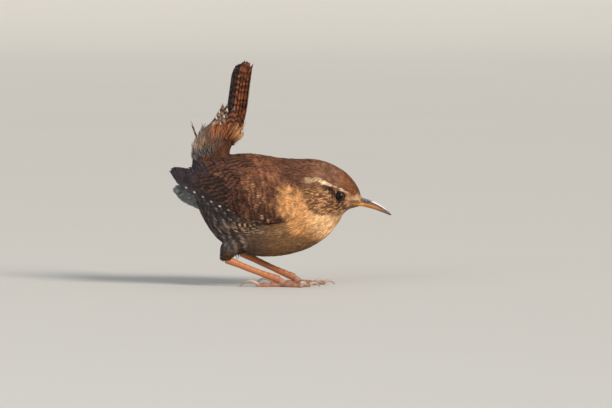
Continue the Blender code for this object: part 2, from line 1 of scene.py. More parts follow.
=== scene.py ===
"""A wren as a museum shows it: skin, plumage, flight feathers, bill, eyes and legs, on a pale floor.

Shapes are worked out in millimetres, with the bird facing +X and its right side towards -Y.
"""

import math

import bpy
import numpy as np
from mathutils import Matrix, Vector, kdtree


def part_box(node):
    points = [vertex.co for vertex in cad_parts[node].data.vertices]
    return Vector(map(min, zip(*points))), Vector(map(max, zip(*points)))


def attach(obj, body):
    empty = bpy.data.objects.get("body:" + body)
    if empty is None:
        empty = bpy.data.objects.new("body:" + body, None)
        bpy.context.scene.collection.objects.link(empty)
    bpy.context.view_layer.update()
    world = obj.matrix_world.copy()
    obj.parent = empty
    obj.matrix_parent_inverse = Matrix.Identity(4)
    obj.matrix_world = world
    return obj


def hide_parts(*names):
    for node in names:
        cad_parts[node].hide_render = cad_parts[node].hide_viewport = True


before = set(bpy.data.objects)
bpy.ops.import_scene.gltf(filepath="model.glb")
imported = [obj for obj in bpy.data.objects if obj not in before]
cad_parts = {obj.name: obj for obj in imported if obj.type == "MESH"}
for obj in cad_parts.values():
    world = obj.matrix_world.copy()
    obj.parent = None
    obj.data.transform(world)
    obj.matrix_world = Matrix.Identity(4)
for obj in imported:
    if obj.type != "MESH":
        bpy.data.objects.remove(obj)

MM = 0.001
RIGHT, LEFT = -1.0, 1.0
SIDES = ((RIGHT, "right"), (LEFT, "left"))
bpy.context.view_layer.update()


def through(stations, t):
    """A Catmull-Rom curve through rows of numbers, read at t, which counts the rows from 0."""
    rows = np.asarray(stations, float)
    last = len(rows) - 1
    t = np.clip(np.asarray(t, float), 0, last)
    i = np.minimum(t.astype(int), last - 1)
    f = (t - i)[..., None]
    before, here, there = rows[np.maximum(i - 1, 0)], rows[i], rows[i + 1]
    after = rows[np.minimum(i + 2, last)]
    return 0.5 * (2 * here + (there - before) * f + (2 * before - 5 * here + 4 * there - after) * f**2
                  + (3 * here - before - 3 * there + after) * f**3)


def ease(low, high, x):
    """0 below low, 1 above high and a smooth step between."""
    t = np.clip((np.asarray(x, float) - low) / (high - low), 0, 1)
    return t * t * (3 - 2 * t)


def table(rows, x):
    """Reads a table of (x, value) by straight lines."""
    rows = np.array(sorted(rows))
    return np.interp(x, rows[:, 0], rows[:, 1])


def blend_to(colour, other, share):
    """colour moved towards other by share, over whole arrays."""
    share = np.asarray(share)[..., None]
    return colour * (1 - share) + np.asarray(other) * share


def over(points, colour):
    """One colour at every place, ready to be painted on."""
    return np.broadcast_to(np.array(colour), (*points.shape[:-1], 3)).copy()


def stacked(*parts):
    """Arrays spread to one shape and joined along a new last axis."""
    return np.stack(np.broadcast_arrays(*parts), axis=-1)


def circle(count):
    """Angles that go once round in even steps."""
    return np.arange(count) * 2 * math.pi / count


def length_of(v):
    """The length of vectors, kept as a last axis of one."""
    return np.linalg.norm(v, axis=-1, keepdims=True)


def unit(v):
    """Vectors drawn to a length of 1."""
    return v / np.maximum(length_of(v), 1e-9)


# solid_noise mixes a lattice point's three whole numbers and a seed with these, and keeps the lowest bits.
MIX_PLACE = (73856093, 19349663, 83492791)
MIX_SEED, MIX_ALL = 2654435761, 1274126177
SEED_BITS, MIXED_BITS, KEPT_BITS = 0xFFFFFFF, 0x7FFFFFFF, 65536


def solid_noise(points, size, seed):
    """Smooth noise in 0..1, read at points, with lumps about size across.

    Each whole point of a lattice has a random number, mixed from its place, and the noise runs smoothly
    between the eight round a place.
    """
    places = np.asarray(points, float) / size + 137.0 * seed
    cell = np.floor(places).astype(np.int64)
    f = places - cell
    f = f * f * (3 - 2 * f)
    total = 0.0
    for corner in range(8):
        step = np.array([corner & 1, corner >> 1 & 1, corner >> 2 & 1])
        at = cell + step
        mixed = at[..., 0] * MIX_PLACE[0] ^ at[..., 1] * MIX_PLACE[1] ^ at[..., 2] * MIX_PLACE[2]
        mixed = mixed ^ (seed * MIX_SEED & SEED_BITS)
        mixed = (mixed ^ mixed >> 13) * MIX_ALL & MIXED_BITS
        weight = np.prod(np.where(step, f, 1 - f), axis=-1)
        total = total + weight * (mixed % KEPT_BITS) / KEPT_BITS
    return total


def lumpy(points, large, fine):
    """Two noises about 0: one with lumps of the large size, one of the fine size."""
    return solid_noise(points, large, 1) - 0.5, solid_noise(points, fine, 2) - 0.5


class Surface:
    """A surface as a dense grid of places and normals, read smoothly at (row, column) in 0..1.

    The columns may close on themselves. metric gives the millimetres for one unit of either coordinate,
    and travel the length of the way from the first row.
    """

    def __init__(self, grid, closed, outward):
        self.grid, self.closed = grid, closed
        along = np.gradient(grid, axis=0)
        if closed:
            across = (np.roll(grid, -1, axis=1) - np.roll(grid, 1, axis=1)) / 2
        else:
            across = np.gradient(grid, axis=1)
        self.normal = unit(np.cross(across, along)) * outward
        rows, columns = grid.shape[0] - 1, grid.shape[1] - (0 if closed else 1)
        steps = np.linalg.norm(along, axis=-1)
        self.metric = np.stack([steps * rows, np.linalg.norm(across, axis=-1) * columns], axis=-1)
        self.travel = np.cumsum(steps, axis=0)[..., None]

    def read(self, array, row, column):
        """An array of the grid's shape, read between its points."""
        rows, columns = array.shape[:2]
        r = np.clip(row, 0, 1) * (rows - 1)
        r0 = np.clip(r.astype(int), 0, rows - 2)
        fr = (r - r0)[..., None]
        if self.closed:
            c = np.mod(column, 1.0) * columns
            c0 = np.floor(c).astype(int) % columns
            c1 = (c0 + 1) % columns
            fc = (c - np.floor(c))[..., None]
        else:
            c = np.clip(column, 0, 1) * (columns - 1)
            c0 = np.clip(c.astype(int), 0, columns - 2)
            c1 = c0 + 1
            fc = (c - c0)[..., None]
        low = array[r0, c0] * (1 - fc) + array[r0, c1] * fc
        high = array[r0 + 1, c0] * (1 - fc) + array[r0 + 1, c1] * fc
        return low * (1 - fr) + high * fr

    def at(self, row, column, height=0.0):
        """The place that stands height off the surface."""
        off = self.read(self.normal, row, column) * np.asarray(height)[..., None]
        return self.read(self.grid, row, column) + off


# The outer form of the plumage in the plane of symmetry, from the bill's base to the tip of the tail's stump:
# the ring's point on the back (x, z), its point on the belly (x, z), half width, and how low it is widest.
FORM = [
    (26.0, 28.0, 25.4, 25.5, 1.55, 0.00),
    (25.0, 31.1, 23.6, 25.0, 3.30, 0.05),
    (23.1, 34.1, 21.8, 24.4, 5.10, 0.08),
    (20.2, 36.9, 20.1, 22.9, 6.60, 0.08),
    (15.8, 39.3, 18.9, 20.6, 7.70, 0.05),
    (11.0, 40.6, 17.7, 18.9, 8.90, 0.00),
    (5.0, 40.7, 15.8, 16.6, 10.70, 0.00),
    (-0.5, 41.1, 12.4, 13.9, 12.30, 0.00),
    (-5.5, 41.9, 7.0, 11.3, 13.30, 0.02),
    (-9.5, 42.4, 0.2, 9.7, 13.60, 0.04),
    (-12.5, 42.4, -7.0, 9.5, 13.20, 0.06),
    (-14.5, 42.2, -14.0, 11.0, 12.20, 0.06),
    (-15.7, 42.1, -19.9, 15.0, 10.60, 0.04),
    (-16.2, 42.2, -24.0, 20.4, 8.90, 0.00),
    (-16.4, 42.6, -26.9, 27.0, 7.20, 0.00),
    (-16.4, 43.3, -28.2, 34.4, 5.70, 0.00),
    (-15.9, 44.8, -28.0, 40.6, 4.90, 0.00),
    (-14.9, 47.4, -27.0, 45.4, 4.30, 0.00),
    (-14.1, 50.4, -24.4, 50.0, 3.40, 0.00),
    (-13.6, 53.4, -21.2, 53.6, 2.30, 0.00),
    (-13.8, 56.2, -18.2, 56.6, 0.90, 0.00),
]
LAST_RING = len(FORM) - 1.0

# How deep the skin lies under that form, by ring.
COAT_DEPTH = [(0.0, 0.12), (1.0, 0.22), (3.0, 0.45), (5.0, 0.8), (7.0, 1.1), (10.0, 1.3), (14.0, 1.3),
              (17.0, 1.0), (20.0, 0.5)]
GRID_ROWS, GRID_AROUND = 401, 256


def form_grid(rows, around):
    """The outer form as rings of points: each ring an ellipse from its back point to its belly point."""
    s = np.linspace(0.0, LAST_RING, rows)
    read = through(FORM, s)
    back, belly, width, low = read[:, 0:2], read[:, 2:4], read[:, 4], read[:, 5]
    half, middle = (back - belly) / 2, (back + belly) / 2
    turn = circle(around)
    height = np.cos(turn)[None, :] - low[:, None] * np.sin(turn)[None, :] ** 2
    grid = np.empty((rows, around, 3))
    grid[..., 0] = middle[:, 0, None] + half[:, 0, None] * height
    grid[..., 2] = middle[:, 1, None] + half[:, 1, None] * height
    grid[..., 1] = width[:, None] * np.sin(turn)[None, :]
    return grid


def body_surface():
    """The skin: the outer form, drawn in by the coat's depth."""
    outer = Surface(form_grid(GRID_ROWS, GRID_AROUND), True, 1.0)
    s = np.linspace(0.0, LAST_RING, GRID_ROWS)
    depth = table(COAT_DEPTH, s)[:, None, None]
    return Surface(outer.grid - outer.normal * depth, True, 1.0)


def middle_of(node):
    """The middle of a node's box, in millimetres."""
    low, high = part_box(node)
    return (np.array(low) + np.array(high)) / 2 / MM


def size_of(node):
    """The size of a node's box, in millimetres."""
    low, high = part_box(node)
    return (np.array(high) - np.array(low)) / MM


# The eye stands a little behind and above its solid. The lids' opening has its own centre and outline, which
# is given as radii by angle.
EYE_SHIFT = np.array([-0.5, 0.0, 0.28])
EYE = middle_of("eye_right")
EYE_RADIUS = size_of("eye_right")[0] / 2
EYE_AT = (EYE + EYE_SHIFT)[[0, 2]]
EYE_CLEAR = 1.60
LID_CENTRE = (-0.45, 0.08)
LID_RADIUS = [(0, 1.42), (35, 1.26), (80, 1.16), (125, 1.46), (180, 1.36), (225, 1.52), (270, 1.30),
              (315, 1.38), (360, 1.42)]
LID_HALF_WIDTH = 0.32
LID_THICK = 0.15


def light_of(red, green, blue):
    """The share of light that a colour throws back, from the way it looks as 8-bit values."""
    value = np.array([red, green, blue]) / 255
    return tuple(((value + 0.055) / 1.055) ** 2.4)


# Colours of the body
FOREHEAD = light_of(110, 68, 42)
CROWN = light_of(116, 80, 61)
NAPE = light_of(95, 61, 46)
MANTLE = light_of(118, 76, 55)
BACK = light_of(90, 57, 40)
RUMP = light_of(92, 56, 37)
BUFF = light_of(189, 136, 88)
BREAST = light_of(226, 178, 130)
THROAT = light_of(200, 155, 112)
# Painted shade: the buff darkened on the lower breast
BREAST_PAINTED_SHADE = light_of(114, 77, 44)
BELLY = light_of(130, 96, 65)
FLANK = light_of(104, 82, 67)
FLANK_EDGE = light_of(158, 140, 130)
VENT = light_of(64, 54, 52)
CREAM = light_of(208, 176, 144)
OLIVE = light_of(158, 134, 102)
WHITE = light_of(226, 220, 208)
DARK = light_of(40, 27, 23)
SCALLOP = light_of(200, 160, 126)

# Colours of the face
EAR_DARK = light_of(68, 42, 31)
EAR_MID = light_of(112, 75, 50)
EAR_PALE = light_of(186, 139, 97)
LORES = light_of(198, 148, 106)
GAPE = light_of(214, 146, 56)
LID_SKIN = light_of(66, 44, 34)
PUPIL, IRIS = (0.003, 0.003, 0.003), (0.012, 0.007, 0.005)

# Colours of coverts, down and thighs
COVERT = light_of(100, 65, 47)
# Painted shade of the coverts low down at the wing's bend
COVERT_PAINTED_SHADE = light_of(76, 50, 38)
COVERT_REAR = light_of(66, 43, 34)
COVERT_FLECK = light_of(184, 144, 108)
COVERT_PALE = light_of(146, 122, 104)
FLUFF = light_of(160, 132, 112)
DOWN_GREY = light_of(104, 80, 66)
DOWN_ORANGE = light_of(134, 82, 52)
# Painted shade: slate of the parted down below the tail's root
DOWN_PAINTED_SHADE = light_of(88, 88, 92)
DOWN_CREAM = light_of(184, 136, 94)
ROOT_PALE = light_of(150, 126, 108)
THIGH_SLATE = light_of(62, 56, 57)
THIGH_BROWN = light_of(66, 50, 37)
HEEL_BROWN = light_of(74, 49, 36)

# Colours of wing and tail
WEB_BROWN = light_of(40, 34, 35)
SECONDARY_BROWN = light_of(62, 39, 30)
TERTIAL_BROWN = light_of(90, 57, 42)
PRIMARY_COVERT = light_of(58, 44, 38)
GREATER_COVERT = light_of(88, 54, 39)
WING_FRONT = light_of(78, 58, 45)
WING_DARK = light_of(47, 39, 44)
UNDER_GREY = light_of(128, 130, 130)
SPOT_CREAM = light_of(186, 166, 138)
TAIL_BROWN = light_of(108, 60, 36)
TAIL_DARK = light_of(50, 35, 33)

# Colours of bill, legs and floor
HORN_DARK = light_of(58, 48, 46)
HORN_BLUE = light_of(118, 116, 128)
HORN_AMBER = light_of(172, 110, 50)
HORN_TIP = light_of(96, 66, 50)
# Painted highlight: near-white laid along the upper bill's ridge
BILL_PAINTED_HIGHLIGHT = light_of(236, 236, 240)
LEG_SKIN = light_of(178, 107, 64)
TOE_SKIN = light_of(158, 108, 84)
TOE_GROOVE = light_of(118, 76, 62)
CLAW_HORN = light_of(178, 158, 146)
CLAW_TIP = (0.14, 0.095, 0.07)
FLOOR_DARK, FLOOR_PALE = (0.60, 0.595, 0.575), (0.62, 0.615, 0.595)

# Lines of the side view, as (x, z): brow, stripe behind the eye, dark line before it, corner of the bill, and
# the lower edge of the brown upperparts. The brow's half width is given by the share of its length.
BROW = [(7.4, 34.3), (9.6, 34.3), (11.5, 34.4), (12.9, 33.8), (14.6, 33.2), (16.5, 32.5), (17.9, 31.8),
        (19.1, 31.2), (20.4, 30.5), (21.8, 29.8)]
BROW_WIDTH = [(0, 0.85), (0.28, 0.62), (0.50, 0.50), (0.66, 0.44), (0.8, 0.38), (1, 0.32)]
EYE_STRIPE = [(12.3, 32.9), (13.9, 32.2), (15.3, 31.9), (16.4, 31.2), (16.9, 29.5), (16.6, 28.0)]
LORE = [(20.7, 27.8), (22.6, 27.2), (24.6, 27.0)]
GAPE_LINE = [(22.9, 26.3), (26.5, 26.1)]
UPPER_EDGE = [(-30.0, 44.0), (-24.0, 40.0), (-19.0, 33.0), (-14.0, 27.0), (-8.0, 25.0), (-1.6, 24.5),
              (-0.9, 29.0), (0.0, 32.2), (3.0, 31.9), (6.6, 31.3), (9.0, 31.8), (12.0, 32.0),
              (15.0, 31.5), (17.0, 30.8), (19.0, 29.6), (21.0, 28.9), (24.0, 28.5), (27.0, 28.2)]

# Outlines and spots of the side view: the buff front, the ear patch and the whisker patch; the spots under
# the ear; pale flecks of the coverts with their half height; and the tail's underside as (z, x).
FRONT = [(-0.8, 32.2), (3.0, 31.8), (6.6, 31.0), (7.3, 28.3), (8.4, 25.5), (11.0, 24.4), (15.0, 23.2),
         (19.0, 22.6), (22.0, 24.0), (30.0, 26.0), (30.0, 5.0), (10.0, 13.4), (5.0, 16.9), (2.2, 19.6),
         (0.2, 23.8), (-0.8, 28.0)]
EAR = [(7.2, 31.6), (10.0, 32.3), (13.0, 32.0), (15.5, 31.6), (17.4, 30.6), (17.6, 27.8), (19.0, 26.6),
       (17.6, 24.2), (14.5, 23.2), (11.8, 23.6), (9.0, 24.9), (7.6, 27.5)]
MALAR = [(16.6, 28.0), (20.2, 27.7), (22.6, 26.6), (21.6, 24.6), (19.2, 22.7), (16.6, 23.2)]
CHEEK_SPOTS = ((11.0, 23.6), (13.3, 23.4))
SHOULDER_FLECKS = ((-8.7, 33.8, 1.9), (-7.0, 29.6, 1.6), (-7.3, 26.4, 0.7), (-5.8, 22.8, 0.7),
                   (-3.7, 21.7, 0.7))
TAIL_UNDERSIDE = [(44, -27.5), (50, -24.4), (54, -21.0), (57, -18.6), (62, -16.6)]

# Heights of the scalloped row on body, wing and coverts, and the turn that draws out the belly's streaks.
BODY_SCALLOPS, WING_SCALLOPS, SHOULDER_SCALLOPS = 18.7, 19.9, 20.8
STREAK_TURN = np.array([[0.25, 0.0, 0.85], [0.0, 1.0, 0.0], [0.12, 0.0, -1.6]])


def from_line(points, line):
    """Distance of points of the side view from a line, and how far along the line the nearest place is."""
    line = np.asarray(line, float)
    best = np.full(points.shape[:-1], 1e9)
    place = np.zeros(points.shape[:-1])
    for i, (a, b) in enumerate(zip(line[:-1], line[1:])):
        t = np.clip(((points - a) @ (b - a)) / ((b - a) @ (b - a)), 0, 1)
        away = np.linalg.norm(points - a - t[..., None] * (b - a), axis=-1)
        place = np.where(away < best, (i + t) / (len(line) - 1), place)
        best = np.minimum(best, away)
    return best, place


def inside(points, outline):
    """How far places of the side view lie within an outline, negative outside it."""
    ring = outline + outline[:1]
    away, _ = from_line(points, ring)
    x, z = points[..., 0], points[..., 1]
    within = np.zeros(x.shape, bool)
    for (ax, az), (bx, bz) in zip(ring[:-1], ring[1:]):
        crosses = (az > z) != (bz > z)
        slope = (bx - ax) / (bz - az) if bz != az else 0.0
        within ^= crosses & (x < ax + (z - az) * slope)
    return np.where(within, away, -away)


def underparts(points, side, lumps, small):
    """Colour below the brown: belly, flank and vent, with the buff front over them."""
    x, z = points[..., 0], points[..., 2]
    under = over(points, BELLY)
    under = blend_to(under, FLANK, ease(-1.0, -9.0, x + lumps * 4))
    under = blend_to(under, VENT, ease(-9.0, -17.0, x + lumps * 4 + (z - 18) * 0.25))
    buff = over(points, BUFF)
    buff = blend_to(buff, BREAST, ease(7.0, 13.0, x))
    buff = blend_to(buff, THROAT, ease(15.0, 19.0, x))
    # Painted shade: the buff darkens towards the lower breast
    buff = blend_to(buff, BREAST_PAINTED_SHADE, ease(20.6, 14.8, z + 0.1 * x + lumps * 3) * ease(17.0, 9.0, x))
    upright = points * np.array([1.0, 1.0, 0.45])
    patches = solid_noise(points, 0.9, 7) + 0.6 * solid_noise(upright, 0.55, 13)
    buff = buff * (0.70 + 0.38 * patches)[..., None]
    return blend_to(under, buff, ease(-1.3, 1.3, inside(side, FRONT) + lumps * 2.2 + small * 1.6))


def upperparts(points, small):
    """Colour of crown, nape, mantle and back, mottled."""
    x, z = points[..., 0], points[..., 2]
    upper = over(points, MANTLE)
    upper = blend_to(upper, NAPE, ease(-3.0, 2.0, x) * ease(12.0, 7.0, x))
    upper = blend_to(upper, CROWN, ease(7.0, 12.0, x))
    upper = blend_to(upper, FOREHEAD, ease(17.0, 22.0, x))
    upper = blend_to(upper, BACK, ease(-9.0, -13.0, x))
    upper = blend_to(upper, RUMP, ease(42.0, 44.5, z))
    mottle = solid_noise(points, 0.8, 8) - 0.5
    return upper * (1 + 0.75 * mottle + 0.40 * small)[..., None]


def cheek_marks(points, side, colour, small):
    """Paints the ear patch with its bent streaks, and the flecked whisker patch below the eye."""
    x, z = points[..., 0], points[..., 2]
    stretched = points * np.array([0.5, 1.0, 1.0])
    lane = (z + 0.16 * x + 2.6 * (solid_noise(stretched, 1.5, 5) - 0.5)) / 0.95
    wave = 0.5 + 0.5 * np.sin(2 * math.pi * lane)
    level = 0.58 * wave + 0.55 * solid_noise(stretched, 0.7, 6)
    ear = ease(-0.6, 0.5, inside(side, EAR) + small * 1.2)
    colour = blend_to(colour, EAR_MID, ear * 0.95)
    colour = blend_to(colour, EAR_DARK, ear * ease(0.58, 0.34, level) * 0.85)
    colour = blend_to(colour, EAR_PALE, ear * ease(0.62, 0.84, level) * (0.35 + 0.65 * ease(8.0, 12.0, x)))
    flecks = solid_noise(points, 0.62, 9)
    malar = ease(-0.6, 0.6, inside(side, MALAR) + small)
    colour = blend_to(colour, EAR_DARK, malar * ease(0.40, 0.58, flecks) * 0.95)
    return blend_to(colour, EAR_PALE, malar * ease(0.42, 0.25, flecks) * 0.95)


def bill_surround(points, side, colour, small):
    """Paints the pale lores with the dark line through them, the white spot at the forehead and the gape."""
    x, z = points[..., 0], points[..., 2]
    lores = ease(20.2, 21.6, x) * ease(30.0, 28.2, z + small * 1.5) * ease(25.8, 26.9, z)
    colour = blend_to(colour, LORES, lores * (0.40 + 0.8 * solid_noise(points, 0.8, 12)))
    from_spot = np.hypot(x - 24.2, (z - 28.6) * 0.8) + small * 0.6
    colour = blend_to(colour, WHITE, ease(0.9, 0.2, from_spot) * 0.35)
    away, _ = from_line(side, LORE)
    colour = blend_to(colour, EAR_DARK, ease(0.60, 0.2, away + small * 0.5) * 0.65)
    away, place = from_line(side, GAPE_LINE)
    return blend_to(colour, GAPE, ease(0.42, 0.15, away) * ease(0.0, 0.5, place) * 0.8)


def face_marks(points, side, colour, small):
    """Paints cheek, lores, cheek spots, the upright lines behind the eye, eye stripe and brow."""
    x, z = points[..., 0], points[..., 2]
    colour = cheek_marks(points, side, colour, small)
    colour = bill_surround(points, side, colour, small)
    spots = np.min([np.hypot(x - sx, (z - sz) * 1.2) for sx, sz in CHEEK_SPOTS], axis=0)
    colour = blend_to(colour, EAR_DARK, ease(1.0, 0.3, spots + small) * 0.75)
    stripes = (x > 15.6) * (x < 17.7) * (z > 27.6) * (z < 31.0)
    upright = np.sin((x - 15.9) * 2 * math.pi / 0.8)
    colour = blend_to(colour, EAR_PALE, stripes * ease(0.2, 0.9, upright) * 0.7)
    colour = blend_to(colour, DARK, stripes * ease(0.2, 0.9, -upright) * 0.6)
    away, place = from_line(side, EYE_STRIPE)
    dark = ease(1.0, 0.45, away + small * 0.6) * ease(-0.1, 0.5, place) * ease(1.05, 0.75, place)
    colour = blend_to(colour, DARK, dark * 0.92)
    away, place = from_line(side, BROW)
    width = 0.85 * table(BROW_WIDTH, place)
    brow = ease(1.40, 0.6, (away + small) / width) * ease(1.02, 0.90, place) * ease(-0.02, 0.06, place)
    cream = blend_to(over(points, OLIVE), CREAM, ease(0.22, 0.34, place))
    cream = cream * (0.75 + 0.5 * solid_noise(points, 0.7, 14))[..., None]
    return blend_to(colour, cream, brow)


def scallops(colour, x, z, lumps, small, level):
    """Paints the row of pale and dark feather ends that shows along the folded wing's lower edge."""
    from_row = np.abs(z - level + 0.10 * (x + 12) + 1.2 * lumps)
    row = ease(1.3, 0.5, from_row) * ease(-5.0, -7.0, x) * ease(-19.5, -17.0, x)
    wave = 0.5 + 0.5 * np.sin((x + 0.35 * z) * 2 * math.pi / 1.5 + 5 * small)
    colour = blend_to(colour, SCALLOP, row * ease(0.60, 0.90, wave) * 0.85)
    return blend_to(colour, DARK, row * ease(0.45, 0.15, wave) * 0.80)


def flank_edges(colour, x, z, lumps, small):
    """Paints the pale steep edges of the loose flank feathers, and the dark between them."""
    area = ease(-9.5, -12.0, x) * ease(-22.0, -19.0, x + 0.3 * (z - 16))
    area = area * ease(10.5, 13.0, z) * ease(24.0, 21.0, z)
    wave = 0.5 + 0.5 * np.sin((0.9 * x + 0.42 * z + 1.6 * lumps) * 2 * math.pi / 2.6 + 2.5 * small)
    colour = blend_to(colour, FLANK_EDGE, area * ease(0.74, 0.96, wave) * 0.60)
    return blend_to(colour, DARK, area * ease(0.35, 0.10, wave) * 0.50)


def markings(points):
    """The bird's markings at places in millimetres: colour, strength of bars, paleness of tips and lane.

    They are worked out in the side view, alike on both sides. The lane counts the bars along a feather;
    where it is None, the bars follow the travel along the body.
    """
    x, z = points[..., 0], points[..., 2]
    side = points[..., [0, 2]]
    lumps, small = lumpy(points, 4.0, 1.3)
    above = z - table(UPPER_EDGE, x) + lumps * 1.6 + small * 0.9
    upper = ease(-1.3, 1.3, above)
    share = upper[..., None]
    colour = underparts(points, side, lumps, small) * (1 - share) + upperparts(points, small) * share
    head = ease(6.0, 7.0, x)[..., None]
    colour = colour * (1 - head) + face_marks(points, side, colour, small) * head
    colour = scallops(flank_edges(colour, x, z, lumps, small), x, z, lumps, small, BODY_SCALLOPS)
    rear = ease(-6.0, -15.0, x)
    bars = 0.06 + 0.16 * upper * ease(0.0, -9.0, x) + 0.30 * rear
    bars = bars * ease(6.0, 1.0, x)
    pale = 0.18 + 0.7 * ease(-7.0, -13.0, x) * (1 - upper) + 0.10 * ease(2.0, 8.0, x)
    streak = solid_noise(points @ STREAK_TURN, 0.9, 23) - 0.5
    tone = 1.0 + 0.20 * lumps + 0.14 * small + 0.45 * streak * ease(8.0, 2.0, x) * (1 - upper)
    return colour * tone[..., None], bars, pale, None


def covert_markings(points):
    """Markings of the wing's small coverts: smooth brown above, wavy upright bars lower and farther back,
    darker low down towards the wing's bend as painted shade.
    """
    x, z = points[..., 0], points[..., 2]
    lumps, small = lumpy(points, 3.0, 1.1)
    fine = solid_noise(points * np.array([1.0, 1.0, 0.45]), 0.75, 16) - 0.5
    colour = over(points, COVERT)
    colour = blend_to(colour, MANTLE, ease(31.0, 38.0, z + lumps * 3) * ease(-14.0, -9.0, x))
    # Painted shade: the coverts darken low down towards the wing's bend
    colour = blend_to(colour, COVERT_PAINTED_SHADE, ease(30.0, 21.0, z + lumps * 4) * ease(3.0, -2.0, x))
    colour = blend_to(colour, COVERT_REAR, ease(-10.5, -15.0, x + lumps * 3) * 0.85)
    front = ease(-1.8, 1.8, inside(points[..., [0, 2]], FRONT) + lumps * 3.0 + small * 1.8)
    colour = blend_to(colour, BUFF, front)
    fleck = np.min([np.hypot((x - fx) / 0.38, (z - fz) / tall) for fx, fz, tall in SHOULDER_FLECKS], axis=0)
    colour = blend_to(colour, COVERT_FLECK, ease(1.0, 0.4, fleck + small * 1.4) * 0.8)
    colour = scallops(colour, x, z, lumps, small, SHOULDER_SCALLOPS)
    bars = (0.16 + 0.62 * ease(37.0, 31.0, z + lumps * 3)) * (1 - front)
    lane = (x + 0.10 * z) / 1.6 + small * 0.7
    tone = 1 + 0.34 * lumps + 0.4 * small + 1.0 * fine
    return colour * tone[..., None], bars, 0.55 * (1 - front), lane


def thigh_markings(points):
    """Markings of the thighs: slate grey, browner in front where they meet the belly, and at the heel."""
    x, z = points[..., 0], points[..., 2]
    lumps, small = lumpy(points, 2.4, 0.9)
    colour = over(points, THIGH_SLATE)
    colour = blend_to(colour, THIGH_BROWN, ease(-15.5, -12.5, x + lumps * 2))
    colour = blend_to(colour, HEEL_BROWN, ease(13.0, 9.5, z + lumps * 2))
    colour = (colour + flank_edges(colour, x, z, lumps, small)) / 2
    return colour * (1 + 0.6 * lumps + 0.6 * small)[..., None], 0.15 + 0 * x, 0.4 + 0 * x, None


def down_markings(points):
    """Markings of the down at the tail's root: grey-buff behind, orange-brown on top, cream in front, with
    painted shade: slate low at the tail's root and near-black in the gap before it.
    """
    x, z = points[..., 0], points[..., 2]
    lumps, small = lumpy(points, 3.2, 1.1)
    colour = over(points, RUMP)
    colour = blend_to(colour, DOWN_GREY, ease(-17.5, -21.0, x + lumps * 4))
    colour = blend_to(colour, FLUFF, ease(-22.5, -26.0, x + lumps * 3))
    over_tail = ease(46.8, 49.5, z + lumps * 2) * ease(-23.5, -21.0, x) * ease(-13.0, -15.0, x)
    colour = blend_to(colour, DOWN_ORANGE, over_tail)
    # Painted shade: slate below the tail's root
    colour = blend_to(colour, DOWN_PAINTED_SHADE, ease(45.0, 43.4, z + lumps * 2) * ease(-16.5, -19.0, x) * 0.8)
    # Painted shade: near-black in the gap between tail and back
    from_gap = np.hypot(x + 17.2, (z - 43.4) * 1.2) + small
    colour = blend_to(colour, DARK, ease(2.4, 0.8, from_gap) * 0.85)
    colour = blend_to(colour, DOWN_CREAM, ease(-15.4, -12.6, x + small))
    bars = 0.30 * ease(-23.0, -18.0, x) * ease(46.0, 50.0, z) * ease(-13.5, -15.0, x)
    return colour * (1 + 0.5 * lumps + 0.4 * small)[..., None], bars, 0.25 * ease(-13.5, -15.5, x), None


def root_markings(points):
    """Markings of the coverts over the tail's root: barred brown, then barred cream along the underside."""
    x, z = points[..., 0], points[..., 2]
    lumps, small = lumpy(points, 2.2, 0.9)
    from_edge = x - table(TAIL_UNDERSIDE, z)
    pale = ease(3.0, 1.2, from_edge + lumps * 2)
    colour = blend_to(over(points, TAIL_BROWN), ROOT_PALE, pale)
    bars = 0.65 + 0.30 * pale
    return colour * (1 + 0.4 * lumps + 0.7 * small)[..., None], bars, 0.3 * pale, z / 1.7 + 0.9 * small


def add_piece(name, points, triangles, values=None, bake=None, normals=None):
    """A new object from points in millimetres, triangles, named values per point and a map per corner."""
    mesh = bpy.data.meshes.new(name)
    count = len(triangles)
    mesh.vertices.add(len(points))
    mesh.vertices.foreach_set("co", (np.asarray(points, np.float32) * MM).ravel())
    mesh.loops.add(count * 3)
    mesh.loops.foreach_set("vertex_index", np.asarray(triangles, np.int32).ravel())
    mesh.polygons.add(count)
    mesh.polygons.foreach_set("loop_start", np.arange(0, count * 3, 3, dtype=np.int32))
    mesh.polygons.foreach_set("use_smooth", np.full(count, True))
    for word, value in (values or {}).items():
        value = np.asarray(value, np.float32)
        if value.shape[-1] == 4:
            mesh.attributes.new(word, "FLOAT_COLOR", "POINT").data.foreach_set("color", value.ravel())
        else:
            mesh.attributes.new(word, "FLOAT_VECTOR", "POINT").data.foreach_set("vector", value.ravel())
    if bake is not None:
        layer = mesh.uv_layers.new(name="OFBake", do_init=False)
        layer.uv.foreach_set("vector", np.asarray(bake, np.float32).ravel())
    mesh.update(calc_edges=True)
    mesh.validate()
    if normals is not None:
        mesh.normals_split_custom_set_from_vertices(normals.tolist())
    made = bpy.data.objects.new(name, mesh)
    bpy.context.scene.collection.objects.link(made)
    return made


def facing_out(points, triangles):
    """Copies of one template of triangles for each solid in points, turned so that each faces out."""
    corners = points[:, triangles]
    a = corners[:, :, 0] - points[:, :1]
    b = corners[:, :, 1] - points[:, :1]
    c = corners[:, :, 2] - points[:, :1]
    volume = np.einsum("fki,fki->f", a, np.cross(b, c))
    every = np.broadcast_to(triangles, (len(points), *triangles.shape)).copy()
    wrong = volume < 0
    every[wrong] = every[wrong][:, :, ::-1]
    every += (np.arange(len(points)) * points.shape[1])[:, None, None]
    return every


def two_faces(a, b, c, d):
    """Two triangles for each square of corners a, b, c and d."""
    return np.concatenate([np.stack([a, b, c], 1), np.stack([a, c, d], 1)])


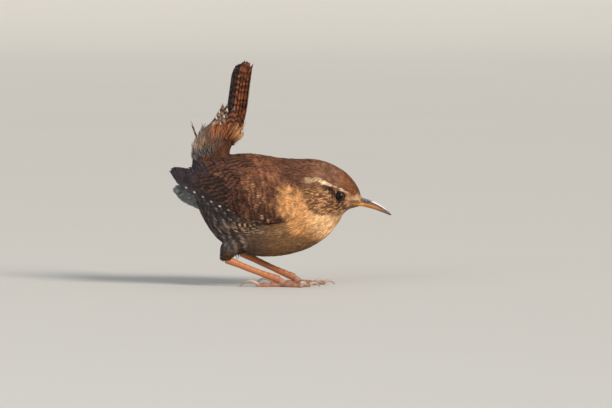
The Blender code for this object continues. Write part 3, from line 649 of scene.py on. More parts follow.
def slab_triangles(rows, columns):
    """Two matching grids closed by a rim: outer points first, then inner points, row by row."""
    index = np.arange(rows * columns).reshape(rows, columns)
    corners = (index[:-1, :-1], index[:-1, 1:], index[1:, 1:], index[1:, :-1])
    outer = two_faces(*(corner.ravel() for corner in corners))
    under = rows * columns
    inner = outer[:, ::-1] + under
    rim = np.concatenate([index[0], index[1:, -1], index[-1, -2::-1], index[-2:0:-1, 0]])
    after = np.roll(rim, -1)
    side = np.concatenate([np.stack([after, rim, rim + under], 1),
                           np.stack([after, rim + under, after + under], 1)])
    return np.concatenate([outer, inner, side])


def closed_tube(rings):
    """Triangles of rings of points, with a fan over either end to a point added at its middle."""
    rows, around, _ = rings.shape
    count = rows * around
    points = np.vstack([rings.reshape(-1, 3), rings[0].mean(0), rings[-1].mean(0)])
    index = np.arange(count).reshape(rows, around)
    after = np.roll(index, -1, axis=1)
    sides = two_faces(index[:-1].ravel(), after[:-1].ravel(), after[1:].ravel(), index[1:].ravel())
    ends = [np.stack([after[0], index[0], np.full(around, count)], 1),
            np.stack([index[-1], after[-1], np.full(around, count + 1)], 1)]
    faces = np.concatenate([sides, *ends])
    p = points[faces] - points.mean(0)
    if np.einsum("fi,fi->", p[:, 0], np.cross(p[:, 1], p[:, 2])) < 0:
        faces = faces[:, ::-1]
    return points, faces


def ring_triangles(rows, around):
    """Triangles of rings that close on themselves both ways, listed ring by ring."""
    index = np.arange(rows * around).reshape(rows, around)
    below = np.roll(index, -1, axis=0)
    corner = [index, np.roll(index, -1, axis=1), np.roll(below, -1, axis=1), below]
    a, b, c, d = (part.ravel() for part in corner)
    return np.stack([a, b, c, a, c, d], axis=1).reshape(-1, 3)


def join_tubes(groups):
    """Several closed tubes, each (points, triangles, tint), as one set of arrays."""
    points, faces, tints, count = [], [], [], 0
    for p, f, tint in groups:
        points.append(p)
        faces.append(f + count)
        tints.append(tint)
        count += len(p)
    return np.concatenate(points), np.concatenate(faces), np.concatenate(tints)


def colour4(colour):
    """A colour with a fourth channel of 1."""
    return np.concatenate([colour, np.ones((*colour.shape[:-1], 1))], axis=-1)


def finish(piece, material, slot, *nodes):
    """Gives a piece its material, its ride and the nodes that it stands for."""
    piece.data.materials.append(material)
    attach(piece, "root")
    if nodes:
        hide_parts(*nodes)
    return piece


def tinted_piece(name, points, faces, tint, material, slot, *nodes):
    """A piece with one colour for each point."""
    return finish(add_piece(name, points, faces, {"tint": colour4(tint)}), material, slot, *nodes)


# A blade has three rings of three points and a tip. These give each ring's place along the blade, its width,
# how far it follows the fan and how far it has risen; then each point's ring and its edge.
BLADE_STATIONS = np.array([0.0, 0.36, 0.72, 1.0])
BLADE_WIDTHS = np.array([0.60, 1.0, 0.70, 0.0])
FAN_SPREAD = np.array([0.30, 0.80, 1.0, 0.94])
RISE = np.array([-0.05, 0.62, 0.98, 1.0])
BLADE_RING = np.array([0, 0, 0, 1, 1, 1, 2, 2, 2, 3])
BLADE_EDGE = np.array([-1, 1, 0, -1, 1, 0, -1, 1, 0, 0])
BLADE_POINTS = len(BLADE_RING)
EDGE_LEAN = 0.45
BAR_SPACING = 2.1
TUFT_PATCH = 0.003
MAP_EDGE, MAP_WIDE = 0.002, 0.993


def blade_triangles():
    """One blade: three rings of three points, closed by a root face and run out to a tip."""
    faces = [(0, 1, 2)]
    for ring in (0, 3):
        for a, b in ((0, 1), (1, 2), (2, 0)):
            faces += [(ring + a, ring + 3 + b, ring + b), (ring + a, ring + 3 + a, ring + 3 + b)]
    faces += [(6, 9, 7), (7, 9, 8), (8, 9, 6)]
    return np.array(faces)


def roots_on(surface, spacing, count, rng):
    """Roots spread evenly: random places by area, each kept if no kept one lies within its spacing.

    spacing gives that distance for arrays of places, and 0 where nothing grows.
    """
    area = np.prod(surface.metric, axis=-1)
    rows, columns = area.shape
    pick = rng.choice(area.size, count, p=(area / area.sum()).ravel())
    row = np.clip((pick // columns + rng.random(count) - 0.5) / (rows - 1), 0, 1)
    column = np.mod((pick % columns + rng.random(count) - 0.5) / columns, 1.0)
    place = surface.at(row, column)
    gap = spacing(place, row, column)
    tree = kdtree.KDTree(count)
    for i, p in enumerate(place.tolist()):
        tree.insert(p, i)
    tree.balance()
    taken = gap <= 0
    kept = []
    for i in range(count):
        if taken[i]:
            continue
        kept.append(i)
        for _, near, _ in tree.find_range(place[i].tolist(), float(gap[i])):
            taken[near] = True
    kept = np.array(kept)
    return row[kept], column[kept], place[kept]


def grow(surface, row, column, length, width, rise, blades, rng, stout=1.0, ragged=0.1, curl=0.0, stray=0.10):
    """Tufts on a surface: each a fan of thin closed blades that leave the skin and lie back along it.

    A blade's place is its root plus its own share of the fan sideways, u of its length along the lie,
    and rise times a curve of u off the skin. Its section is a flat triangle that narrows to a tip.
    Returns points (tuft, blade, point, xyz), their (u, across, chance), the travel along the body and
    the normals, which lean from the skin's own towards the blade's edges.
    """
    n = len(row)
    fan = np.linspace(-1, 1, blades)[None, :] + rng.normal(0, 0.6 / blades, (n, blades))
    size = length[:, None] * (1 - 0.24 * fan**2 + rng.normal(0, ragged, (n, blades)))
    lean = rng.normal(0, stray, n)[:, None] + rng.normal(0, ragged * 0.5, (n, blades))
    height = rise[:, None] * (1 - 0.12 * fan**2 + rng.normal(0, 0.05, (n, blades)))
    metric = surface.read(surface.metric, row, column)
    half = (stout * width[:, None] / blades * np.ones((n, blades)))[..., None]
    u, edge = BLADE_RING, BLADE_EDGE
    station = BLADE_STATIONS[u]
    along = size[..., None] * station
    aside = (fan * width[:, None] / 2)[..., None] * FAN_SPREAD[u] + half * edge * BLADE_WIDTHS[u]
    c, s = np.cos(lean)[..., None], np.sin(lean)[..., None]
    down = (along * c - aside * s) / metric[:, 0, None, None]
    sideward = (along * s + aside * c) / metric[:, 1, None, None]
    ridge = np.where(edge == 0, 1.0, 0.0)
    off = height[..., None] * RISE[u] + half * 0.35 * ridge * (1 - station * 0.6)
    off = off + curl * size[..., None] * station**2
    r, q = row[:, None, None] + down, column[:, None, None] + sideward
    points = surface.at(r, q, off)
    beyond = np.maximum(r - 1, 0)[..., None] * surface.metric[-1, 0, 0]
    points = points + beyond * unit(surface.grid[-1].mean(0) - surface.grid[-4].mean(0))
    normals = surface.read(surface.normal, r, q)
    sideways = unit(np.repeat(points[:, :, [1, 4, 7]] - points[:, :, [0, 3, 6]], 3, axis=2))
    normals[:, :, :9] += sideways * edge[:9, None] * EDGE_LEAN
    across = (fan[..., None] + 1) / 2 + edge * 0.4 / blades
    place = stacked(station, across, rng.random(n)[:, None, None])
    travel = surface.read(surface.travel, r, q)[..., 0]
    return points, place, travel, unit(normals)


def tuft_piece(name, row, column, grown, material, rng, look=markings, vary=0.12, jitter=0.0):
    """Joins grown tufts into one mesh, with its markings and its map.

    Each tuft's patch of the map is 0.003 across, at its root's place on the unrolled skin.
    """
    points, place, travel, normals = grown
    n, blades = points.shape[:2]
    flat = points.reshape(n * blades, BLADE_POINTS, 3)
    triangles = facing_out(flat, blade_triangles()).reshape(-1, 3)
    tint, bars, pale, lane = look(points)
    if lane is None:
        lane = travel / BAR_SPACING
    lane = lane + jitter * (place[..., 2] - 0.5)
    tone = 1 + rng.normal(0, vary, (n, 1, 1, 1)) + rng.normal(0, vary * 1.1, (n, blades, 1, 1))
    tint = np.clip(tint * tone, 0, 1)
    mark = np.stack([bars, lane, pale], axis=-1)
    low, high = (row.min(), column.min()), (row.max(), column.max())
    root = np.stack([(column - low[1]) / (high[1] - low[1]), (row - low[0]) / (high[0] - low[0])], axis=-1)
    patch = (MAP_EDGE + MAP_WIDE * root)[:, None, None] + TUFT_PATCH * place[..., [1, 0]]
    bake = patch.reshape(-1, 2)[triangles]
    values = {"tint": colour4(tint.reshape(-1, 3)), "place": place.reshape(-1, 3),
              "mark": mark.reshape(-1, 3)}
    made = add_piece(name, flat.reshape(-1, 3), triangles, values, bake, normals.reshape(-1, 3))
    return finish(made, material, "plumage")


# Vanes: their stations along and across, and their thickness
VANE_U = 1 - (1 - np.linspace(0, 1, 34)) ** 1.35
VANE_V = np.sin(np.linspace(-1, 1, 13) * math.pi / 2)
VANE_THICK = 0.11
VANE_RAGGED, TAIL_RAGGED = 0.0035, 0.012


def vane_outline(u, v, shaft, point):
    """Half width of a vane at u of its length, as a share of its whole half width.

    It swells from the quill, keeps its width, and closes as a quarter ellipse from point to the tip;
    the web on the shaft's short side is narrower by the shaft's offset.
    """
    swell = 0.30 + 0.70 * ease(0.0, 0.42, u)
    close = np.sqrt(np.clip(1 - (np.clip(u - point, 0, 1) / (1 - point)) ** 2.2, 0, 1))
    return swell * close * (v - shaft * (1 - v**2))


def vane_cap(u, v):
    """1 over most of a vane, falling off at the corners of its tip so that the end is round."""
    return 1 - ease(0.75, 1, u) * v**2


def sheet_piece(name, outer, inner, place, tint, under, mark, spot, material, *nodes):
    """Joins sheets, each between an outer and an inner grid, with a strip of the map for every face."""
    n, rows, columns, _ = outer.shape
    count = rows * columns

    def both(a, b):
        """Values of the outer and the inner face, point by point."""
        return np.concatenate([a.reshape(n, count, -1), b.reshape(n, count, -1)], axis=1)

    points = both(outer, inner)
    triangles = facing_out(points, slab_triangles(rows, columns)).reshape(-1, 3)
    named = {"tint": (tint, under), "place": (place, place), "mark": (mark, mark), "spot": (spot, spot * 0.3)}
    values = {word: both(a, b).reshape(n * 2 * count, -1) for word, (a, b) in named.items()}
    values["tint"] = colour4(values["tint"])
    strips = 2 * n
    wide = math.ceil(math.sqrt(strips * 4))
    deep = math.ceil(strips / wide)
    strip = np.arange(strips)[:, None, None]
    u = np.linspace(0.04, 0.96, rows)[None, :, None]
    v = np.linspace(0.06, 0.94, columns)[None, None, :]
    chart = stacked((strip % wide) / wide + v / wide, (strip // wide) / deep + u / deep).reshape(-1, 2)
    made = add_piece(name, points.reshape(-1, 3), triangles, values, chart[triangles])
    return finish(made, material, "flight_feathers", *nodes)


# The folded wing lies on an ellipse round the body at each x, as its solid does.
BED_MIDDLE, BED_HEIGHT = 26.0, 16.5
BED_WIDTH = [(9.0, 12.0), (4.0, 13.2), (-2.0, 14.1), (-8.0, 14.3), (-14.0, 13.6), (-20.0, 12.4),
             (-26.0, 11.0), (-32.0, 9.4), (-38.0, 7.8)]
SHOULDER = (2.0, 30.0)
DROOP = {RIGHT: 0.0, LEFT: math.radians(10.4)}
FORWARD = {RIGHT: 0.0, LEFT: 1.15}
WING_CAMBER, WING_SHAFT = 0.22, 0.25

# How many vanes each tier of a wing has, the tips and spots of the outer quills, and the bars' spacing
PRIMARIES, SECONDARIES, TERTIALS = 9, 6, 3
ALULA, GREATER = 5, 9
PRIMARY_TIPS = [(-25.6, 29.0), (-29.2, 31.9), (-32.2, 34.2), (-34.4, 35.8), (-35.3, 36.6), (-35.4, 37.2),
                (-35.0, 37.7), (-34.3, 38.1)]
PRIMARY_SPOTS = np.array([0.10, 0.28, 0.08, 0.08, 0.90, 0.0, 0.0, 0.0, 0.0])
LANE_WIDTH, SPOT_SPACING = 1.9, 3.0

# Seeds of the random draws
WING_SEED, THIGH_SEED, SHOULDER_SEED = {RIGHT: 11, LEFT: 12}, {RIGHT: 51, LEFT: 52}, {RIGHT: 61, LEFT: 62}
TAIL_SEED, HEAD_SEED, RUMP_SEED, TAIL_ROOT_SEED = 21, 31, 44, 45


def bed(x, turn, side, lift):
    """A place on that ellipse: turn is its angle from the top of the back, lift its height off it."""
    wide = table(BED_WIDTH, x)
    across, up = np.sin(turn) / wide, np.cos(turn) / BED_HEIGHT
    size = np.hypot(across, up)
    y = wide * np.sin(turn) + lift * across / size
    z = BED_MIDDLE + BED_HEIGHT * np.cos(turn) + lift * up / size
    return stacked(x, side * y, z)


def on_wing(points, side):
    """Places of the wing's side view as (x, turn) on the bed, after the wing's droop."""
    points = np.asarray(points, float)
    c, s = math.cos(DROOP[side]), math.sin(DROOP[side])
    dx, dz = points[..., 0] - SHOULDER[0], points[..., 1] - SHOULDER[1]
    x = SHOULDER[0] + FORWARD[side] + dx * c - dz * s
    z = SHOULDER[1] + dx * s + dz * c
    return np.stack([x, np.arccos(np.clip((z - BED_MIDDLE) / BED_HEIGHT, -1, 1))], axis=-1)


def spread(count, first, last, bow=(0.0, 0.0)):
    """count places from first to last, bowed out between them."""
    t = np.linspace(0.0, 1.0, count)[:, None]
    first, last, bow = (np.array(v, float) for v in (first, last, bow))
    return first + (last - first) * t + bow * 4 * t * (1 - t)


def wing_vanes(side, roots, tips, width, lift, tilt, rng, point):
    """Vanes on the wing's bed from roots to tips of the side view.

    Across the midline v runs from the upper edge, -1, to the lower, 1. The height is the vane's own lift,
    plus half its tilt at v, plus a camber of 1 - v squared, plus a fine ridge at the shaft, and it rises
    a little towards the tip. Returns both faces, (u, v, chance), and how far along and across each point
    lies, in millimetres.
    """
    n = len(roots)
    lift = np.broadcast_to(lift, n)[:, None, None]
    start, end = on_wing(roots, side), on_wing(tips, side)
    scale = np.array([1.0, BED_HEIGHT * 0.9])
    along = unit((end - start) * scale)
    down = np.stack([along[:, 1], -along[:, 0]], axis=-1)
    down = np.where(down[:, 1:2] < 0, -down, down) / scale
    u, v = VANE_U[None, :, None], VANE_V[None, None, :]
    reach = length_of((end - start) * scale)[..., None]
    ragged = rng.normal(0, VANE_RAGGED, (n, len(VANE_U), len(VANE_V))) * ease(0.55, 1, u) * np.abs(v) ** 3
    back = (1 - vane_cap(u, v)) * width / reach * 0.35
    share = np.clip(u - back + ragged * 1.2, 0, 1.02)
    across = vane_outline(u, v, WING_SHAFT, point) * width / 2
    at = start[:, None, None] + (end - start)[:, None, None] * share[..., None]
    at = at + down[:, None, None] * across[..., None]
    height = lift - 0.27 + 0.35 * u + tilt / 2 * v + WING_CAMBER * (1 - v**2) - WING_CAMBER * 0.5
    height = height + 0.06 * np.exp(-((v - WING_SHAFT * 0.9) / 0.09) ** 2) * (1 - 0.6 * u)
    thick = VANE_THICK * (1 - 0.75 * np.abs(v) ** 3) * (1 - 0.6 * u)
    outer = bed(at[..., 0], at[..., 1], side, height)
    inner = bed(at[..., 0], at[..., 1], side, height - thick)
    place = stacked(u, (v + 1) / 2, rng.random(n)[:, None, None])
    return outer, inner, place, share * reach, across


def wing_sets():
    """The wing's tiers, innermost first.

    Each has roots, tips, width, lift, tilt, colour, strength of bars, of spots and of the dark tips, and
    how far along its rounding starts.
    """
    primary_tips = through(PRIMARY_TIPS, np.linspace(0, 7, PRIMARIES))
    count = np.arange
    return [
        (spread(PRIMARIES, (-6.0, 20.6), (-10, 24.8), (0, -0.3)), primary_tips,
         4.1, -0.10 + 0.045 * count(PRIMARIES), 0.75, WEB_BROWN, 0.30, PRIMARY_SPOTS, 1.0, 0.86),
        (spread(SECONDARIES, (-9, 23.8), (-8, 33)), spread(SECONDARIES, (-31.2, 37.5), (-26.8, 39.2)),
         5.2, 0.30 + 0.05 * count(SECONDARIES), 0.8, SECONDARY_BROWN, 0.92, 0.0, 0.9, 0.72),
        (spread(TERTIALS, (-8, 34.3), (-7, 37.6)), spread(TERTIALS, (-25.2, 39.4), (-19, 40.4)),
         5.9, 0.62 + 0.08 * count(TERTIALS), 0.7, TERTIAL_BROWN, 0.80, 0.0, 0.4, 0.72),
        (spread(ALULA, (-7.5, 20.4), (-8, 23.4)), spread(ALULA, (-15.5, 21.8), (-16.5, 26.0)),
         2.7, 0.42 + 0.02 * count(ALULA), 0.5, PRIMARY_COVERT, 0.7, 0.30, 0.3, 0.72),
        (spread(GREATER, (-5, 24.2), (-6, 36.5)), spread(GREATER, (-17.6, 26.2), (-18.4, 38.9)),
         3.4, 0.60 + 0.02 * count(GREATER), 0.5, GREATER_COVERT, 0.85, 0.0, 0.1, 0.72),
    ]


def wing_tier(side, tier, rng):
    """One tier of vanes with its colours: dark tips, browner and scalloped in front, barred and spotted."""
    roots, tips, width, lift, tilt, colour, bars, spots, tip_dark, point = tier
    n = len(roots)
    roots = roots + rng.normal(0, 0.12, roots.shape)
    tips = tips + rng.normal(0, 0.10, tips.shape)
    outer, inner, place, along, across = wing_vanes(side, roots, tips, width, lift, tilt, rng, point)
    x, z = outer[..., 0], outer[..., 2]
    tone = 1 + rng.normal(0, 0.10, (n, 1, 1, 1))
    blotch = solid_noise(outer * np.array([0.6, 1.0, 1.0]), 1.3, 21) - 0.5
    tint = over(outer, colour) * tone * (1 + 0.9 * blotch[..., None])
    dark_tip = ease(0.70, 0.90, place[..., 0] + 0.35 * blotch) * tip_dark
    tint = blend_to(tint, WING_DARK, dark_tip)
    in_front = ease(-14.5, -9.0, x + 3 * blotch) * ease(23.0, 21.0, z)
    tint = blend_to(tint, WING_FRONT, in_front * 0.85)
    tint = scallops(tint, x, z, blotch, blotch, WING_SCALLOPS)
    under = blend_to(tint, UNDER_GREY, np.full(place.shape[:3], 0.9))
    lane = (along - across) / LANE_WIDTH + rng.normal(0, 0.28, (n, 1, 1)) + 0.5 * blotch
    mark = stacked(bars * (1 - dark_tip), lane, 0.5)
    dots = along / SPOT_SPACING + rng.normal(0.3, 0.08, (n, 1, 1))
    fade = ease(0.90, 0.78, place[..., 0]) * (0.30 + 1.2 * solid_noise(outer, 2.2, 15)) * (1 - in_front)
    strong = 0.85 * np.broadcast_to(spots, n)[:, None, None] * fade
    return outer, inner, place, tint, under, mark, stacked(dots, strong, 0.0)


def wings(material):
    """Both wings: every tier of vanes as one piece for each wing, which stands for the wing's solid."""
    for side, word in SIDES:
        rng = np.random.default_rng(WING_SEED[side])
        parts = [wing_tier(side, tier, rng) for tier in wing_sets()]
        joined = [np.concatenate(group) for group in zip(*parts)]
        sheet_piece(f"wing_feathers_{word}", *joined, material, f"wing_{word}")


# The tail's own axes, the lengths and places of its feathers, and their bars
TAIL_ROOT = (-16.9, 44.0)
TAIL_LEAN, TAIL_TWIST = math.radians(12.4), math.radians(6.0)
TAIL_LENGTH, TAIL_HALF_WIDTH = 29.0, 2.9
TAIL_SHARES = [0.955, 0.925, 0.985, 1.0, 0.975, 0.940]
BROWN_PAIRS = 4
FEATHER_TURN, FEATHER_STEP = 11.0, 13.5
FEATHER_CAMBER, COVERT_CAMBER, BOW_SCALE = 0.35, 0.30, 6.75
TAIL_LANE = 2.1
COVERT_LANE = 1.7

# Coverts of the tail in the side view: root (x, z), tip (x, z), how far across both are, width, facing and
# how white the tip is
TAIL_COVERTS = [
    ((-20.5, 47.0), (-18.2, 58.9), (0.9, 1.5), 1.9, 116.0, 0.8),
    ((-21.6, 46.0), (-19.4, 56.8), (0.9, 1.6), 2.0, 112.0, 0.9),
    ((-22.4, 45.0), (-20.4, 54.8), (1.0, 1.7), 2.1, 110.0, 1.0),
    ((-23.0, 44.0), (-21.0, 53.0), (1.1, 1.8), 2.1, 112.0, 0.9),
    ((-23.6, 43.6), (-21.9, 51.4), (1.1, 1.8), 2.1, 118.0, 0.8),
    ((-25.0, 43.4), (-24.6, 49.0), (0.8, 1.2), 2.0, 128.0, 0.6),
    ((-25.2, 42.8), (-28.6, 52.8), (0.4, 0.5), 1.3, 160.0, 1.0),
    ((-24.6, 43.2), (-25.1, 52.0), (0.2, 0.3), 1.3, 165.0, 1.0),
    ((-19.0, 46.0), (-16.9, 57.4), (1.8, 2.3), 1.9, 98.0, 0.7),
    ((-19.8, 45.0), (-17.9, 55.2), (2.0, 2.5), 1.9, 98.0, 0.8),
    ((-20.6, 44.0), (-19.0, 53.2), (2.1, 2.7), 2.0, 100.0, 0.6),
    ((-18.0, 45.0), (-14.6, 57.6), (2.4, 2.8), 2.8, 84.0, 0.1),
    ((-16.5, 45.0), (-12.7, 56.0), (2.0, 2.5), 2.8, 70.0, 0.0),
    ((-15.2, 45.0), (-11.2, 57.0), (1.2, 1.7), 2.6, 58.0, 0.0),
]


def tail_axes():
    """Along the tail, across it to the bird's left, and out of its upper face."""
    along = np.array([math.sin(TAIL_LEAN), 0.0, math.cos(TAIL_LEAN)])
    across = np.array([0.0, 1.0, 0.0])
    face = np.cross(across, along)
    c, s = math.cos(TAIL_TWIST), math.sin(TAIL_TWIST)
    return along, across * c + face * s, face * c - across * s


def in_tail(across_bird, x, z):
    """A place of the side view in the tail's own axes (across, face, along)."""
    along, across, face = tail_axes()
    point = np.array([x - TAIL_ROOT[0], across_bird, z - TAIL_ROOT[1]])
    return np.array([point @ across, point @ face, point @ along])


def tail_vanes(roots, tips, facing, width, lift, rng, point, camber, bow=0.0):
    """Vanes in the tail's axes, square to their facing angles.

    Across the midline v runs from edge to edge, with a camber of 1 - v squared out of the vane's upper side
    and a fine ridge at its shaft. The midline is straight, plus bow towards the tail's face, which is
    greatest a third of the way out. Returns what wing_vanes does.
    """
    along, across, face = tail_axes()
    origin = np.array([TAIL_ROOT[0], 0.0, TAIL_ROOT[1]])
    roots, tips, facing = np.array(roots, float), np.array(tips, float), np.array(facing, float)
    n = len(roots)
    width, lift, bow = (np.broadcast_to(np.asarray(v, float), n)[:, None, None] for v in (width, lift, bow))
    u, v = VANE_U[None, :, None], VANE_V[None, None, :]
    reach = length_of(tips - roots)[..., None]
    ragged = rng.normal(0, TAIL_RAGGED, (n, len(VANE_U), len(VANE_V)))
    ragged = ragged * ease(0.6, 1, u) * (0.3 + np.abs(v) ** 3)
    share = np.clip(u - (1 - vane_cap(u, v)) * width / reach * 0.3 + ragged, 0, 1.01)
    aside = vane_outline(u, v, 0.0, point) * width / 2
    rise = lift + camber * (1 - v**2) - camber * 0.5 + 0.07 * np.exp(-((v / 0.1) ** 2)) * (1 - 0.6 * u)
    thin = VANE_THICK * (1 - 0.75 * np.abs(v) ** 3) * (1 - 0.6 * u)
    flat = np.stack([np.cos(facing), -np.sin(facing)], axis=-1)[:, None, None]
    up = np.stack([np.sin(facing), np.cos(facing)], axis=-1)[:, None, None]
    middle = roots[:, None, None] + (tips - roots)[:, None, None] * share[..., None]
    middle[..., 1] += bow * BOW_SCALE * share * (1 - share) ** 2
    sides = []
    for level in (rise, rise - thin):
        p = middle[..., :2] + flat * aside[..., None] + up * level[..., None]
        sides.append(origin + p[..., :1] * across + p[..., 1:2] * face + middle[..., 2:] * along)
    place = stacked(u, (v + 1) / 2, rng.random(n)[:, None, None])
    return sides[0], sides[1], place, share * reach, aside


def tail_feathers(rng):
    """The six pairs of tail feathers: they stand on the roof-like curve of the folded tail."""
    roots, tips, facing, width, lift, bow, tint = [], [], [], [], [], [], []
    outermost = math.radians(FEATHER_TURN + FEATHER_STEP * (len(TAIL_SHARES) - 1))
    for pair, share in enumerate(TAIL_SHARES):
        turn = math.radians(FEATHER_TURN + FEATHER_STEP * pair)
        level = (1 - math.cos(turn)) / (1 - math.cos(outermost))
        for side in (RIGHT, LEFT):
            aside = side * TAIL_HALF_WIDTH * math.sin(turn)
            roots.append((aside * 0.5, 0.6 - 1.6 * level, 0.5))
            tips.append((aside, 2.1 - 4.0 * level, TAIL_LENGTH * share + rng.normal(0, 0.35)))
            facing.append(side * math.radians(14.0 + 13.0 * pair))
            width.append(3.9 - 0.06 * pair)
            lift.append(-0.12 * pair)
            bow.append(1.9 - 1.4 * level)
            brown = np.array(TAIL_BROWN) * (0.80 if pair == 0 else 1.0)
            tint.append(brown if pair < BROWN_PAIRS else np.array(TAIL_DARK))
    made = tail_vanes(roots, tips, facing, width, lift, rng, 0.84, FEATHER_CAMBER, bow)
    outer, inner, place, along, aside = made
    n = len(roots)
    streak = solid_noise(outer * np.array([1.0, 1.0, 0.22]), 0.55, 18) - 0.5
    blotch = solid_noise(outer, 1.5, 19) - 0.5
    tone = 1 + rng.normal(0, 0.12, (n, 1, 1)) + 1.1 * streak + 0.5 * blotch
    tint = np.clip(np.array(tint)[:, None, None] * tone[..., None], 0, 1)
    lane = (along + 0.4 * aside) / TAIL_LANE + rng.normal(0, 0.30, (n, 1, 1)) + 1.1 * blotch
    return outer, inner, place, tint, tint * 0.8, stacked(0.80 + 1.2 * blotch, lane, 0.35), 0 * place


def tail_coverts(rng):
    """The pointed coverts above and below the tail's root, barred and tipped with white below."""
    roots, tips, facing, width, white = [], [], [], [], []
    for root, tip, (near, far), wide, turned, pale in TAIL_COVERTS:
        for side in (RIGHT, LEFT):
            roots.append(in_tail(side * near, *root))
            tips.append(in_tail(side * far, *tip) + np.array([0, 0, rng.normal(0, 0.25)]))
            facing.append(side * math.radians(turned))
            width.append(wide)
            white.append(pale)
    outer, inner, place, along, aside = tail_vanes(roots, tips, facing, width, 0.1, rng, 0.35, COVERT_CAMBER)
    n = len(roots)
    white = np.array(white)[:, None, None] + 0 * place[..., 0]
    tint = blend_to(over(outer, TAIL_BROWN), COVERT_PALE, white * 0.8)
    lane = (along + 0.8 * np.abs(aside)) / COVERT_LANE + rng.random((n, 1, 1))
    return outer, inner, place, tint, tint * 0.9, stacked(0.95, lane, 0.4), stacked(0.0, 0.0, white * 0.8)


def tail(material):
    """The tail's feathers and coverts as one piece, which stands for the tail's solid."""
    rng = np.random.default_rng(TAIL_SEED)
    joined = [np.concatenate(pair) for pair in zip(tail_feathers(rng), tail_coverts(rng))]
    sheet_piece("tail_feathers", *joined, material, "tail")


# The bill's edge lines in the side view
BILL_TOP = [(24.6, 28.9), (26.15, 28.2), (28.8, 27.35), (30.4, 26.65), (31.9, 25.75), (33.5, 24.55),
            (35.3, 22.75)]
BILL_CUT = [(24.4, 26.9), (26.15, 26.75), (28.3, 26.3), (30.3, 25.6), (32.1, 24.7), (33.8, 23.65),
            (35.2, 22.7)]
BILL_LOW = [(24.4, 25.5), (25.95, 25.4), (27.4, 25.1), (29.6, 24.5), (31.6, 23.8), (33.3, 23.15),
            (34.7, 22.55)]
BILL_HALF_WIDTH, BILL_FORWARD = 1.45, 0.3
BILL_SLIT = 0.03
BILL_RINGS, BILL_AROUND = 70, 56
NOSTRIL = (28.1, 27.25)


def mandible(top, bottom, share, ridge):
    """Half of the bill: rings between its two edge lines, its width a power of the way to the tip.

    The ridge side is drawn in like a roof, more so at the culmen, and the cutting side is flat, so that
    the two halves meet along their whole width.
    """
    t = np.linspace(0.0, 1.0, BILL_RINGS)
    high, low = through(top, t * (len(top) - 1)), through(bottom, t * (len(bottom) - 1))
    width = share * BILL_HALF_WIDTH * (0.07 + 0.93 * (1 - t) ** 0.8) * (1 + 0.15 * (1 - t) ** 3)
    turn = circle(BILL_AROUND)
    up = np.cos(turn) * ridge
    level = np.abs(np.cos(turn))
    lift = np.cos(turn) * np.where(up > 0, 1.0, level**-0.72)
    lift = np.where(level < 1e-6, 0.0, lift)
    pinch = 1 - 0.34 * np.clip(up, 0, 1) ** 1.5
    middle, half = (high + low) / 2, (high - low) / 2
    rings = np.empty((BILL_RINGS, BILL_AROUND, 3))
    rings[..., 0] = middle[:, 0, None] + half[:, 0, None] * lift
    rings[..., 2] = middle[:, 1, None] + half[:, 1, None] * lift
    rings[..., 1] = width[:, None] * np.sin(turn) * pinch
    rings[..., 0] += BILL_FORWARD
    return rings


def bill(material, low_material):
    """Both mandibles: the upper with its nostrils pressed in, bluish at its base and along the ridge, with a
    painted highlight on the ridge.
    """
    slit = np.array([0.0, BILL_SLIT]) * np.linspace(1.0, 0.4, len(BILL_CUT))[:, None]
    cut, ridge = np.array(BILL_CUT), np.array(BILL_TOP)
    upper = mandible(BILL_TOP, cut + slit, 1.0, 1.0)
    off = np.hypot((upper[..., 0] - NOSTRIL[0]) / 0.75, (upper[..., 2] - NOSTRIL[1]) / 0.24)
    upper[..., 1] *= 1 - 0.34 * ease(1.0, 0.45, off)
    points, faces = closed_tube(upper)
    x, z = points[:, 0] - BILL_FORWARD, points[:, 2]
    edge, top = np.interp(x, cut[:, 0], cut[:, 1]), np.interp(x, ridge[:, 0], ridge[:, 1])
    up = np.clip((z - edge) / np.maximum(top - edge, 0.1), 0, 1)
    tint = blend_to(over(points, HORN_DARK), HORN_BLUE, ease(0.45, 0.85, up) * 0.9)
    tint = blend_to(tint, HORN_AMBER, ease(0.42, 0.18, up) * ease(33.5, 31.0, x) * 0.75)
    # Painted highlight along the ridge of the upper bill
    painted_highlight = ease(0.55, 0.75, up) * ease(28.2, 29.6, x) * ease(34.4, 33.0, x)
    tint = blend_to(tint, BILL_PAINTED_HIGHLIGHT, painted_highlight * 0.85)
    # Painted shade: near-black laid in the hollow at the nostril
    from_hollow = np.hypot((x - 27.2) / 1.2, (z - 26.9) / 0.42)
    tint = blend_to(tint, DARK, ease(1.0, 0.5, from_hollow))
    tinted_piece("bill_upper_horn", points, faces, tint, material, "upper_bill", "bill_upper")
    points, faces = closed_tube(mandible(cut - slit, BILL_LOW, 0.92, -1.0))
    x = points[:, 0] - BILL_FORWARD
    tint = blend_to(over(points, HORN_AMBER), HORN_TIP, ease(29.5, 33.5, x) * 0.9)
    tint = blend_to(tint, GAPE, ease(27.0, 25.8, x) * 0.8)
    tinted_piece("bill_lower_horn", points, faces, tint, low_material, "lower_bill", "bill_lower")


def eyeball(side, centre):
    """A ball with a slight cornea on its outer side, and its colours of pupil and iris."""
    polar = np.linspace(0.02, math.pi - 0.02, 40)[:, None]
    turn = circle(48)[None, :]
    bulge = EYE_RADIUS * (1 + 0.05 * np.exp(-(polar / 0.5) ** 2))
    flat = bulge * np.sin(polar)
    rings = stacked(flat * np.cos(turn), side * bulge * np.cos(polar), flat * np.sin(turn))
    points, faces = closed_tube(rings + centre)
    away = np.hypot(points[:, 0] - centre[0], points[:, 2] - centre[2]) / EYE_RADIUS
    return points, faces, blend_to(over(points, PUPIL), IRIS, ease(0.40, 0.48, away))


